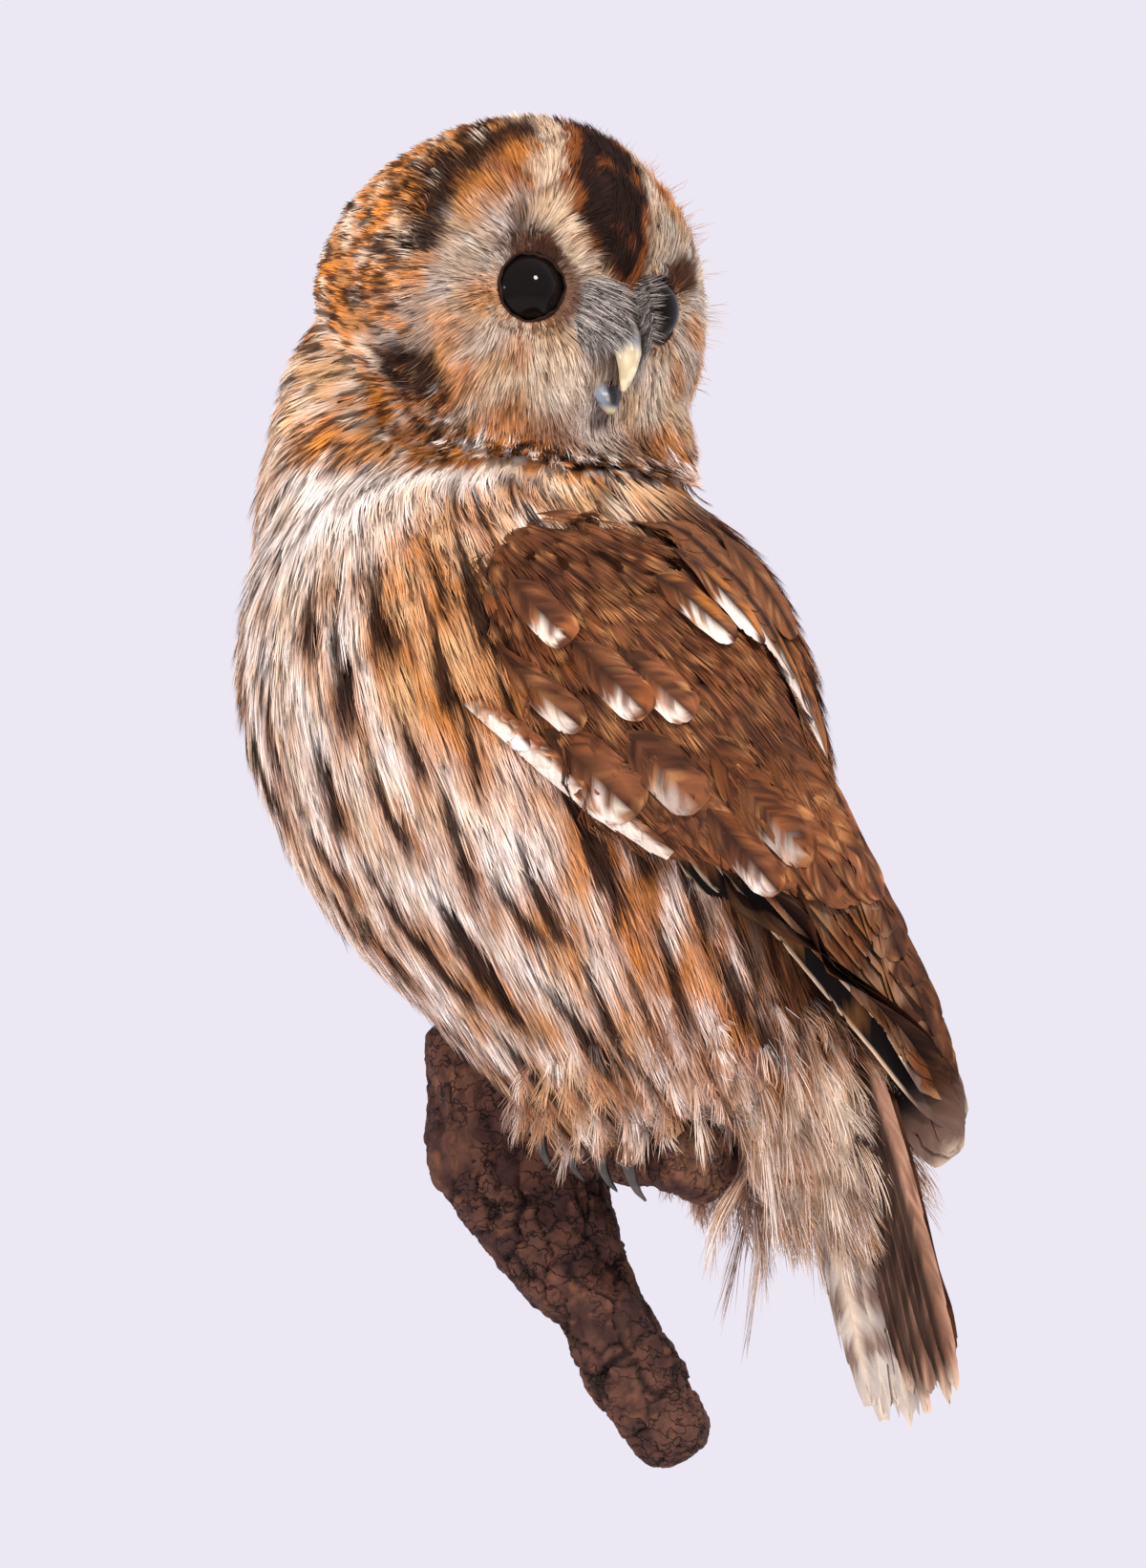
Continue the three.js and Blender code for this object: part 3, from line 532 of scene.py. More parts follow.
def head_colour(p):
    forward, right, up = head_place(p)
    eye_aside = np.where(right > 0, EYE_PLACE[1][1], -EYE_PLACE[-1][1])
    eye = np.hypot(np.abs(right) - eye_aside, up - EYE_PLACE[1][2])
    from_wedge = np.abs(right - np.interp(up, WEDGE_UP, WEDGE_MIDDLE))
    right = right - face_middle(up)
    aside = np.abs(right)
    low = ramp(up, -26, -33)
    ring = disc_share(aside, up) - 0.07 * low
    fine = noise(p, 1.6, 3)
    lumps = rough_noise(p, 7, 5)
    # Disc: buff with fine rings round the eye and rufous patches.
    colour = mix(BUFF * 0.78, mix(CREAM, PALE_GREY, 0.4) * 0.72, ramp(lumps, 0.3, 0.7))
    for place, radius, patch, strength in DISC_PATCHES:
        colour = mix(colour, patch, strength * spot(aside, up, place, radius) * (0.55 + 0.6 * lumps))
    top = ramp(up + 0.3 * aside, 31, 39) * ramp(aside, 6, 11) * ramp(up, 8, 20)
    colour = mix(colour, mix(ORANGE * 0.95, RUST, ramp(lumps, 0.45, 0.8)), top * 0.85)
    rings = 0.5 + 0.5 * np.sin(eye * 2.9 + 5 * noise(p, 6, 9))
    colour = colour * (1 - 0.42 * (rings**2 * ramp(eye, 9, 15) * ramp(aside, 10, 18))[..., None])
    hairs = noise(np.stack([np.arctan2(up, aside - eye_aside) * 14, eye * 0.25, forward * 0.2], -1), 1.0, 8)
    colour = mix(colour, WHITE * 0.9, ramp(hairs, 0.66, 0.9) * 0.25 * ramp(aside, 8, 16) * (1 - 0.7 * top))
    colour = mix(colour, BROWN, ramp(hairs, 0.36, 0.2) * 0.5)
    over_eye = ramp(np.hypot((aside - 26) / 9.5, (up - 10.5) / 6.5), 1.15, 0.65)
    over_eye = np.maximum(over_eye, 0.8 * ramp(np.hypot((aside - 32) / 2.5, (up - 17) / 8), 1.1, 0.6))
    colour = mix(colour, mix(BLACK, RUST * 0.7, fine * 0.6), 0.97 * over_eye)
    colour = mix(colour, mix(BROWN, DARK, ramp(up, 2, 7)), 0.85 * ramp(eye, 12.2, 10.2))
    # Crown and nape: buff and rufous, with cream flecks.
    crown = mix(mix(TAN * 1.15, ORANGE * 1.1, ramp(lumps, 0.35, 0.65)), CREAM, ramp(noise(p, 5, 13), 0.42, 0.66) * 0.85)
    crown = mix(crown * 1.1, DARK, ramp(noise(p, 4.2, 14), 0.62, 0.76) * 0.9)
    outside = np.maximum(ramp(ring, 0.98, 1.04), ramp(forward, 2, -6))
    colour = mix(colour, crown, outside)
    # Ruff: a dark rim above and beside the disc, small orange, white and dark feathers under it.
    ripple = 0.06 * (noise(p, 4, 16) - 0.5)
    rim = ramp(ring + ripple, 0.93, 0.96) * ramp(ring + ripple, 1.08, 1.04) * ramp(forward, -7, 0)
    gap = ramp(up, 8, 4) * ramp(up, -20, -15)
    speck = noise(p, 2.4, 17)
    dark_rim = mix(BLACK, DARK, fine)
    middle_rim = mix(ORANGE, GREY, ramp(up, 1, -9))
    low_rim = mix(mix(mix(RUST, ORANGE, lumps), WHITE, ramp(speck, 0.58, 0.66)), DARK, ramp(speck, 0.47, 0.38))
    colour = mix(colour, mix(mix(dark_rim, middle_rim, gap), low_rim, low), rim * (0.97 - 0.3 * gap))
    # Crown wedge, and the pale brows beside it.
    wedge = np.interp(up, WEDGE_UP, WEDGE_WIDE)
    ragged = 3 * (noise(p, 3, 27) - 0.5)
    in_wedge = ramp(from_wedge + ragged, wedge + 1.2, wedge - 1) * ramp(up, 0, 4) * ramp(forward, -16, -8)
    brow = ramp(from_wedge + ragged, wedge + 9.5, wedge + 7) * ramp(up, 4, 12) * ramp(forward, -8, 0)
    brow_colour = mix(mix(CREAM * 0.85, BUFF * 0.8, noise(p, 4, 19)), BROWN, ramp(noise(p, 2.6, 23), 0.6, 0.74) * 0.8)
    colour = mix(colour, brow_colour, brow)
    fringe = ramp(from_wedge, wedge - 7, wedge) * 0.45 + ramp(up, 12, 2) * 0.3
    wedge_colour = mix(mix(BLACK, DARK, fine), RUST, ramp(noise(p, 4, 29) + fringe, 0.72, 0.95) * 0.8)
    return mix(colour, wedge_colour, in_wedge)


# Dark shaft streaks lie in columns down the body.
STREAK_COLUMN = 11.5
STREAK_ROW = 31.0
BODY_GIRTH = 58.0  # radius that turns an angle round the body into a distance


def streaks(along, round_body, seed):
    """Shares of dark streak and of its rusty fringe at places (up the axis, round the body)."""
    dark = np.zeros_like(along)
    fringe = np.zeros_like(along)
    column = np.floor(round_body / STREAK_COLUMN)
    row = np.floor(along / STREAK_ROW)
    for i in (-1, 0, 1):
        for j in (-1, 0, 1):
            cell = np.stack([column + i, row + j, np.full_like(row, seed)], axis=-1).astype(np.int64)
            a, b, c, d = (hashed(cell, 40 + k) for k in range(4))
            middle = (column + i + 0.2 + 0.6 * a) * STREAK_COLUMN
            top = (row + j + 0.5 + 0.5 * (b - 0.5) + 0.5 * ((column + i) % 2)) * STREAK_ROW
            reach = 24 + 14 * c
            down = (top - along) / reach
            bend = middle + 1.6 * np.sin(down * 3 + a * 6)
            half = (1.0 + 1.9 * d**1.3) * (0.3 + 1.1 * np.clip(down, 0, 1))
            inside = ramp(down, 0, 0.12) * ramp(down, 1.0, 0.86)
            off = np.abs(round_body - bend)
            dark = np.maximum(dark, inside * ramp(off, half + 0.5, half - 0.4))
            beside = ramp(down, 0.2, 0.55) * ramp(down, 1.15, 0.98) * ramp(off, half + 3.6, half)
            fringe = np.maximum(fringe, beside)
    return dark, fringe


def body_colour(p):
    s, q, o = body_place(p)
    angle = np.arctan2(o, -q + 4)
    flank = np.abs(angle)
    lumps = rough_noise(p, 9, 31)
    fine = noise(p, 2.2, 33)
    strand = noise(p @ STRANDS, 2.6, 34)
    colour = mix(WHITE, CREAM, ramp(lumps, 0.4, 0.75))
    colour = mix(colour, BUFF, ramp(strand, 0.5, 0.8) * 0.5)
    # Buff washes: front of the shoulder, flanks and lower belly.
    shoulder = ramp(np.hypot((s - 50) / 40, (flank - 1.12) / 0.42), 1.05, 0.55)
    lower = ramp(s, 20, -50)
    wash = ramp(lumps, 0.36, 0.62) * (0.2 + 0.6 * lower + 0.4 * ramp(flank, 0.9, 1.5)) + 0.95 * shoulder
    colour = mix(colour, mix(BUFF, ORANGE, ramp(strand, 0.3, 0.75) * 0.85), np.clip(wash, 0, 1))
    under = ramp(flank, 1.0, 1.45) * ramp(s, 44, 24) * ramp(s, -96, -80)
    blotch = ramp(noise(p, 8.5, 38), 0.56, 0.66) * ramp(s, 20, 0)
    rich = mix(mix(RUST * 1.25, ORANGE * 0.9, ramp(strand, 0.3, 0.7)), WHITE * 0.92, blotch * 0.9)
    colour = mix(colour, rich, under * 0.85)
    vent = ramp(s, -86, -104) * ramp(q, -4, 14)
    colour = mix(colour, mix(CREAM, BUFF, ramp(strand, 0.4, 0.7)), vent * 0.8)
    dark, fringe = streaks(s + 3 * lumps, angle * BODY_GIRTH, 1)
    bars = ramp(np.sin(s * 0.8 + 6 * noise(p, 15, 35)), 0.3, 0.75) * ramp(noise(p, 7, 37), 0.42, 0.58)
    bars = bars * ramp(s, 50, 5) * (1 - 0.75 * vent)
    bib = ramp(s, 64, 80) * ramp(flank, 1.5, 1.0)
    colour = mix(colour, mix(TAN, BROWN, fine), bars * 0.7)
    colour = mix(colour, mix(RUST, ORANGE, fine), fringe * 0.7 * (1 - 0.9 * bib) * (1 - 0.6 * vent))
    colour = mix(colour, mix(BLACK, DARK, fine * 0.8 + 0.2), dark * 0.96 * (1 - 0.8 * bib) * (1 - 0.8 * vent))
    # Back: brown, with darker streaks and rufous edges.
    back = ramp(flank, 1.75, 2.05) * ramp(s, -92, -80) * ramp(s, 66, 54)
    back_colour = mix(mix(BROWN, WARM_BROWN, ramp(lumps, 0.35, 0.65)), TAN, ramp(strand, 0.6, 0.8) * 0.6)
    back_colour = mix(back_colour, DARK, np.maximum(dark * 0.9, ramp(strand, 0.42, 0.25) * 0.85))
    return mix(colour, back_colour, back)


def neck_colour(p):
    s, q, o = body_place(p)
    lumps = rough_noise(p, 8, 51)
    strand = noise(p @ STRANDS, 3.0, 53)
    colour = mix(mix(TAN * 1.35, BUFF * 1.2, ramp(lumps, 0.25, 0.5)), CREAM, ramp(noise(p, 6, 55), 0.38, 0.62) * 0.85)
    colour = mix(colour, ORANGE, ramp(noise(p, 7, 56), 0.5, 0.75) * 0.55)
    colour = mix(colour, DARK, ramp(strand, 0.68, 0.8) * 0.7)
    # White side of the neck above the breast, as far as the turned head's ruff.
    bib = ramp(q, 22, 4) * ramp(s, 116, 102) * (0.25 + 0.75 * ramp(o, -24, 8))
    white = mix(mix(WHITE, PALE_GREY, ramp(lumps, 0.5, 0.8) * 0.4), BUFF, ramp(noise(p, 10, 57), 0.55, 0.7) * 0.5)
    white = mix(white, BROWN, ramp(strand, 0.64, 0.76) * 0.45)
    return mix(colour, white, bib)


def coat_colour(p):
    """The markings at any place on the bird's skin or coat, wings and tail apart."""
    forward, _, up = head_place(p)
    s, q, _ = body_place(p)
    collar = 76 - 24 * ramp(q, 8, 30)
    in_head = ramp(up, -50, -45) * ramp(forward - 0.9 * up, -4, 8)
    in_head = np.maximum(in_head, ramp(up, -22, -12))
    neck = neck_colour(p)
    colour = mix(body_colour(p), neck, ramp(s, collar, collar + 12))
    return mix(colour, head_colour(p), in_head)


def wing_ground(p):
    lumps = rough_noise(p, 7.5, 61)
    fine = noise(p, 1.7, 63)
    colour = mix(BROWN * 0.85, WARM_BROWN, ramp(lumps, 0.38, 0.62))
    colour = mix(colour, RUST, ramp(noise(p, 9, 64), 0.5, 0.7) * 0.5)
    colour = mix(colour, TAN, ramp(noise(p, 3.6, 65), 0.6, 0.78) * 0.7)
    colour = mix(colour, DARK * 0.9, ramp(fine, 0.5, 0.75) * 0.75)
    return colour


# ---- Which way the feathers lie ----
def head_flow(p, normal):
    """From each eye outwards over the disc, and from the bill back over the rest of the head."""
    forward, right, up = head_place(p)
    from_middle = right - face_middle(up)
    right_eye, left_eye = head_point(*EYE_PLACE[1]), head_point(*EYE_PLACE[-1])
    outward = unit(p - np.where((from_middle > 0)[..., None], right_eye, left_eye))
    back = unit(p - BILL_ROOT)
    ring = disc_share(np.abs(from_middle), up)
    swirl = (noise(p, 9, 71)[..., None] - 0.5) * np.cross(normal, outward) * 1.1
    outward = unit(outward + swirl - HEAD_UP * 0.22)
    on_disc = ramp(ring, 1.15, 0.85) * ramp(forward, -6, 6) * ramp(np.abs(from_middle), 5, 11)
    return tangent(mix(back, outward, on_disc), normal)


def coat_flow(p, normal):
    forward, _, up = head_place(p)
    down = tangent(np.broadcast_to(-AXIS, p.shape), normal)
    over_head = head_flow(p, normal)
    on_head = ramp(up, -60, -30) * ramp(forward, -75, -30)
    mixed = mix(down, over_head, 0.15 + 0.85 * on_head)
    mixed = mix(mixed, down, ramp(up, -50, -70))
    return tangent(mixed + 1e-4, normal)


WING_TIP = (-140.0, 66.0, 22.0)  # up the axis, towards the back and outwards


def wing_flow(side):
    tip = AXIS * WING_TIP[0] + DORSAL * WING_TIP[1] + LEFT * WING_TIP[2] * side
    return lambda p, normal: tangent(tip - p, normal)


# ---- Eyes and lids ----
LID_RADIUS = 10.75
LID_OPENING = math.radians(52)
LID_SPLAY = math.radians(24)  # each eye looks this far aside of where the face does


def head_point(forward, right, up):
    """A place, or places, given from the middle of the head."""
    stack = [np.asarray(a, float)[..., None] * b for a, b in ((forward, GAZE), (right, HEAD_RIGHT), (up, HEAD_UP))]
    return HEAD_MIDDLE + stack[0] + stack[1] + stack[2]


def eye_axes(side):
    look = GAZE * math.cos(LID_SPLAY) + HEAD_RIGHT * math.sin(LID_SPLAY) * side
    across = unit(np.cross(HEAD_UP, look))
    return look, across, np.cross(look, across)


def ball(middle, look, across, over, radius, angles, turns):
    """Rings of a ball round its look direction, as (angles, turns, 3)."""
    a, t = angles[:, None, None], turns[None, :, None]
    radius = np.broadcast_to(radius, angles.shape)[:, None, None]
    return middle + radius * (look * np.cos(a) + (across * np.cos(t) + over * np.sin(t)) * np.sin(a))


def ring_quads(rings, sides):
    a = np.arange(rings - 1)[:, None] * sides
    b, c = np.arange(sides)[None], (np.arange(sides)[None] + 1) % sides
    return np.stack([a + b, a + c, a + sides + c, a + sides + b], axis=-1).reshape(-1, 4)


EYE_SIDES = 64
TURNS = np.linspace(0, 2 * math.pi, EYE_SIDES, endpoint=False)


def eyeball(name, side):
    middle = head_point(*EYE_PLACE[side])
    angles = np.linspace(0.002, math.pi - 0.002, 40)
    # The cornea stands a little out of the ball.
    radius = EYE_RADIUS + 0.35 * ramp(angles, 0.75, 0.3) - 0.05
    rings = ball(middle, *eye_axes(side), radius, angles, TURNS)
    tone = np.broadcast_to(srgb(14, 10, 9), (rings.size // 3, 3))
    return new_mesh(name, rings.reshape(-1, 3), ring_quads(40, EYE_SIDES), tone)


def lid(side):
    """A dark fleshy ring that closes the socket round the eye: points, quads and colours."""
    middle = head_point(*EYE_PLACE[side])
    angles = LID_OPENING + np.array((0.12, 0.04, 0.0, 0.02, 0.09, 0.2, 0.34, 0.55, 0.8))
    radius = LID_RADIUS + np.array((-0.7, -0.35, 0.05, 0.45, 0.6, 0.5, 0.35, 0.2, -0.6))
    wrinkle = 0.12 * np.sin(TURNS * 17)[None, :, None]
    look, across, over = eye_axes(side)
    rings = ball(middle, look, across, over, radius, angles, TURNS)
    rings = rings + unit(rings - middle) * wrinkle
    sag = 0.3 * np.sin(TURNS * 3 + 1) + 0.16 * np.sin(TURNS * 7) + 0.12 * np.sin(TURNS * 12 + 2)
    outward = across * np.cos(TURNS)[:, None] + over * np.sin(TURNS)[:, None]
    rings = rings + outward[None] * (sag[:, None] - 0.15)
    points = rings.reshape(-1, 3)
    tone = mix(BLACK, DARK, noise(points, 1.5, 131))
    return points, ring_quads(len(angles), EYE_SIDES), tone


# ---- Surfaces and skin ----
BODY_NODES = ["head", "neck", "trunk", "vent", "leg_left", "leg_right"]
FOOT_NODES = ["foot_left", "foot_right"]
WING_NODES = {"left": ["wing_left", "primaries_left"], "right": ["wing_right", "primaries_right"]}
SIDE = {"left": 1, "right": -1}

body = Surface(*node_union(BODY_NODES, 2.2, 0.35, 4))
wings = {side: Surface(*node_union(WING_NODES[side], 1.8, 0.35, 2)) for side in SIDE}
shoulders = {side: Surface(*node_union(["trunk", *WING_NODES[side]], 2.4, 0.5, 8)) for side in SIDE}
arms = [f"wing_{side}" for side in SIDE]
skin_points, skin_quads = node_union(BODY_NODES + FOOT_NODES + arms, 1.8, 0.35, 5)


def coat_depth(p):
    """How far the skin lies inside the outline: least on the face and the feet."""
    forward, right, up = head_place(p)
    s, _, _ = body_place(p)
    depth = 4.6 - 1.2 * ramp(up, -45, -25)
    depth = depth - 1.8 * ramp(disc_share(np.abs(right - face_middle(up)), up), 1.05, 0.85) * ramp(forward, 0, 12)
    return depth - 3.2 * ramp(s, -72, -92) * ramp(p @ FACING, -60, -30)


skin_normals = point_normals(skin_points, skin_quads)
skin_points = skin_points - skin_normals * coat_depth(skin_points)[:, None]
skin_points = smoothed(skin_points, skin_quads, 3)
skin_surface = Surface(skin_points, skin_quads)
on_arm = ramp(np.abs(skin_points @ LEFT), 44, 52) * ramp(skin_points @ DORSAL, -26, -18)
# The skin is seen only in gaps between feathers. Its colours are the markings darkened to 0.6, and warm brown darkened
# on the arms: painted shade in those gaps.
shaded_skin_colours = mix(coat_colour(skin_points) * 0.6, WARM_BROWN * 0.55, on_arm)
all_points, all_quads, all_colours = [skin_points], [skin_quads], [shaded_skin_colours]
for side in (1, -1):
    lid_points, lid_quads, lid_colours = lid(side)
    all_quads.append(lid_quads + sum(len(p) for p in all_points))
    all_points.append(lid_points)
    all_colours.append(lid_colours)
skin = new_mesh("skin", np.concatenate(all_points), np.concatenate(all_quads), np.concatenate(all_colours))
bpy.context.view_layer.objects.active = skin
skin.select_set(True)
bpy.ops.object.mode_set(mode="EDIT")
bpy.ops.mesh.select_all(action="SELECT")
bpy.ops.uv.smart_project(angle_limit=math.radians(66), island_margin=0.003)
bpy.ops.object.mode_set(mode="OBJECT")
skin.data.uv_layers[0].name = "OFBake"
skin_uv = np.zeros(len(skin.data.loops) * 2, np.float32)
skin.data.uv_layers["OFBake"].data.foreach_get("uv", skin_uv)
skin_uv = skin_uv.reshape(-1, 4, 2)
PATCH = 0.003


def map_places(roots, size=PATCH):
    """Where roots lie on the skin's unwrap."""
    found = np.empty((len(roots), 2))
    for i, root in enumerate(roots.tolist()):
        place, _, face, _ = skin_surface.tree.find_nearest(root)
        corners = skin_points[skin_quads[face]]
        share = 1 / (np.linalg.norm(corners - np.array(place), axis=1) + 1e-3)
        found[i] = (skin_uv[face] * (share / share.sum())[:, None]).sum(axis=0)
    return {"root": found, "size": size}


# ---- Coats of soft feathers ----
def soft_paint(colour_at, seed, root_shade=0.76, barb_shade=0.17, shafts=(0.0, 0.1), slide_reach=4.5):
    """Colours from the markings, looked up a little off each barb so that marks have feathery edges.

    shafts is the share of the feathers with a dark shaft and how wide it is.
    """
    def paint(points, share, side, feather, barb):
        off = np.stack([hashed(np.stack([feather, feather * 0 + k, feather * 0], -1), seed + k) for k in range(3)], -1)
        slip = np.stack([hashed(np.stack([barb, barb * 0 + k, barb * 0], -1), seed + 5 + k) for k in range(3)], -1)
        slip = np.broadcast_to(slip, points.shape)
        slide = (off[..., :1] + slip[..., :1] - 1) * slide_reach
        colours = colour_at(points + (off - 0.5) * 1.6 + (slip - 0.5) * 1.2 + AXIS * slide)
        own = hashed(np.stack([feather, feather * 0, feather * 0 + 3], -1), seed + 13)
        shaft = ramp(np.abs(side), shafts[1] * 1.6, shafts[1] * 0.6) * (own < shafts[0]) * ramp(share, 0.25, 0.5)
        colours = mix(colours, DARK, np.broadcast_to(shaft, share.shape) * 0.85)
        tone = 1 + barb_shade * (hashed(np.stack([barb, barb * 0, barb * 0 + 1], -1), seed + 9) * 2 - 1)
        tone = tone * (1 + 0.1 * (hashed(np.stack([feather, feather * 0, feather * 0 + 2], -1), seed + 11) * 2 - 1))
        tone = np.broadcast_to(tone, share.shape) * (root_shade + (1 - root_shade) * ramp(share, 0.1, 0.75))
        return colours * tone[..., None]
    return paint


def under_wing(p):
    """Whether a place on the body is hidden by a wing."""
    hidden = np.zeros(len(p), bool)
    for side, surface in wings.items():
        out = LEFT * SIDE[side]
        for i, place in enumerate(p.tolist()):
            if (p[i] @ out) < 5:
                continue
            hit = surface.tree.ray_cast(Vector(place) + Vector(out) * 200, Vector(-out), 200)
            hidden[i] |= hit[0] is not None
    return hidden


def region(p):
    forward, right, up = head_place(p)
    s, q, o = body_place(p)
    ring = disc_share(right - face_middle(up), up)
    face = (ring < 0.93) & (forward > 2)
    head = ~face & ((up > -40) & (forward - 0.9 * up > 0) | (up > -20))
    return face, head, s


def coat(name, spacing, keep, length, half_width, barbs, paint={}, surface=body, **shape):
    spots, normals = surface.scatter(spacing, keep)
    size = 1 + 0.16 * rng.standard_normal(len(spots)).clip(-2, 2)
    spine, over = traced(surface, spots, normals, length(spots) * size, coat_flow)
    hidden = under_wing(spots) & under_wing(spine[:, -1])
    spine, over, size = spine[~hidden], over[~hidden], size[~hidden]
    places = map_places(spine[:, 0])
    wide = half_width(spine[:, 0]) * size
    depth = coat_depth(spine[:, 0]) * 0.95
    colours = soft_paint(coat_colour, len(name) * 7, **paint)
    parts = feather_mesh(name, spine, over, wide, barbs, colours, places, depth, **shape)
    print("COUNT", name, len(spine), "feathers", len(parts["faces"]), "triangles")
    return parts


def constant(value):
    return lambda p: np.full(len(p), float(value))


LOWER_BILL_TIP = np.array((33.5, -1.0, -25.5))
LOWER_BILL_SIDE = np.array((24.0, 7.0, -17.5))
LOWER_BILL_ROOM = 5.5


def bare_of_feathers(p):
    """False in the eyes and along the lower bill."""
    place = np.stack(head_place(p), axis=-1)
    clear = np.ones(len(p), bool)
    for share in (0.0, 0.5, 1.0):
        bill = LOWER_BILL_TIP * (1 - share) + LOWER_BILL_SIDE * share
        clear &= np.linalg.norm(place - bill, axis=-1) > LOWER_BILL_ROOM
    for side in (1, -1):
        clear &= np.linalg.norm(place - EYE_PLACE[side], axis=-1) > EYE_RADIUS + 0.9
    return clear


def near_rim(p):
    """1 on the disc's rim."""
    forward, right, up = head_place(p)
    ring = disc_share(right - face_middle(up), up)
    return ramp(np.abs(ring - 1.02), 0.16, 0.06) * ramp(forward, -16, -4)


pieces = []
in_face = lambda p, n: region(p)[0] & bare_of_feathers(p)
in_head = lambda p, n: region(p)[1]
in_neck = lambda p, n: ~region(p)[0] & ~region(p)[1] & (body_place(p)[0] > 68)
in_breast = lambda p, n: ~region(p)[0] & ~region(p)[1] & (body_place(p)[0] <= 68) & (body_place(p)[0] > -20)
in_belly = lambda p, n: (body_place(p)[0] <= -20) & ~region(p)[1]
towards_camera = lambda p: (p @ LEFT) > 0

pieces.append(coat("coat_face", constant(1.4), in_face, constant(8.5), constant(1.4), brush(12, 0.75, 0.4, 0.35, 1.3),
                   {"root_shade": 0.8, "slide_reach": 1.5}, rise=0.8, untidy=0.08, wild=0.3))
pieces.append(coat("coat_face_locks", constant(3.3), in_face, constant(13), constant(2.6), brush(22, 0.75, 0.5, 0.3, 0.75),
                   {"root_shade": 0.85, "barb_shade": 0.25, "slide_reach": 1.5}, rise=1.7, untidy=0.1, wild=0.5))
pieces.append(coat("coat_head", lambda p: 2.9 - 0.9 * near_rim(p), in_head, lambda p: 15 - 7.5 * near_rim(p),
                   lambda p: 3.3 - 1.3 * near_rim(p), brush(22, 0.6, 0.5, 0.35, 1.5), {"shafts": (0.6, 0.3), "slide_reach": 1.5},
                   rise=1.0, untidy=0.07, wild=0.3))
pieces.append(coat("coat_neck", constant(3.4), in_neck, constant(24), constant(4.0), brush(34, 0.6, 0.5, 0.35, 1.4),
                   {"shafts": (0.4, 0.14)}, rise=1.0, untidy=0.09, wild=0.5))
for name, side in (("left", 1), ("right", -1)):
    pieces.append(coat(f"coat_breast_{name}", constant(3.5), lambda p, n: in_breast(p, n) & (p @ LEFT * side > 0),
                       constant(28), constant(4.6), brush(36, 0.6, 0.5, 0.35, 1.3), {"shafts": (0.25, 0.07)}, rise=1.0,
                       untidy=0.08, wild=0.4))
    pieces.append(coat(f"coat_belly_{name}", constant(3.6), lambda p, n: in_belly(p, n) & (p @ LEFT * side > 0),
                       constant(32), constant(4.4), brush(34, 0.65, 0.5, 0.35, 1.3), {"shafts": (0.25, 0.07)}, rise=1.4,
                       untidy=0.1, wild=0.7))


# ---- Wings ----
# Places on a wing are seen from its own side, as (up the axis, towards the back).
def charted(side, places):
    """Where places (..., 2) seen from a side lie on the wing, and which way is out."""
    flat = places.reshape(-1, 2)
    out = LEFT * SIDE[side]
    starts = AXIS * flat[:, :1] + DORSAL * flat[:, 1:] + out * 160
    ways = np.broadcast_to(-out, starts.shape)
    spots, normals = wings[side].cast(starts, ways)
    return spots.reshape(*places.shape[:-1], 3), normals.reshape(*places.shape[:-1], 3)


def fanned(side, roots, tips, bow=0.0):
    """Spines from roots to tips over a wing, bowed towards the belly by a share of their length."""
    roots, tips = np.asarray(roots, float), np.asarray(tips, float)
    t = np.linspace(0, 1, SPINE_STEPS)[None, :, None]
    way = tips - roots
    aside = np.stack([way[:, 1], -way[:, 0]], axis=-1)[:, None]
    places = roots[:, None] * (1 - t) + tips[:, None] * t - aside * bow * 4 * t * (1 - t)
    return charted(side, places)


def blended_rows(rows, count):
    """count rows between a few given ones."""
    rows = np.array(rows, float)
    at = np.linspace(0, len(rows) - 1, count)
    return np.stack([np.interp(at, np.arange(len(rows)), rows[:, i]) for i in range(rows.shape[1])], axis=1)


def barb_tone(barb, seed, depth=0.14):
    return 1 + depth * (hashed(np.stack([barb, barb * 0, barb * 0 + 1], -1), seed) * 2 - 1)


def wing_paint(pattern, hand, seed, root_shade=0.55):
    """Colours of a firm feather. pattern(colours, points, share, outer, own) adds marks; outer is 1 at its outer edge."""
    def paint(points, share, side, feather, barb):
        own = hashed(np.stack([feather, feather * 0, feather * 0 + 2], -1), seed + 1)
        colours = wing_ground(points + own[..., None] * 9)
        colours = pattern(colours, points, share, -side * hand, own)
        tone = np.broadcast_to(barb_tone(barb, seed), share.shape)
        tone = tone * (0.88 + 0.24 * own) * (root_shade + (1 - root_shade) * ramp(share, 0.1, 0.6))
        return colours * tone[..., None]
    return paint


def plain_marks(colours, points, share, outer, own):
    shaft = ramp(np.abs(outer), 0.2, 0.06) * ramp(own, 0.35, 0.5)
    return mix(colours, DARK, shaft * 0.75)


def spotted_marks(colours, points, share, outer, own):
    colours = plain_marks(colours, points, share, outer, own)
    edge = 0.6 * (rough_noise(points, 2.6, 91) - 0.5)
    first = 0.5 + 0.12 * own
    white = ramp(outer + edge, 0.05, 0.3) * ramp(share + edge * 0.6, first, first + 0.14)
    white = white * ramp(share + edge * 0.5, 1.0, 0.86)
    shaft = ramp(np.abs(outer - 0.45), 0.1, 0.03) * ramp(own, 0.5, 0.6)
    fleck = ramp(noise(points, 1.3, 92), 0.66, 0.8) * 0.7
    spots = mix(mix(WHITE, CREAM, noise(points, 3, 94) * 0.8) * 0.8, WARM_BROWN, fleck)
    return mix(mix(colours, spots, white * (0.5 + 0.5 * ramp(own, 0.1, 0.6))), BROWN, shaft * white * 0.8)


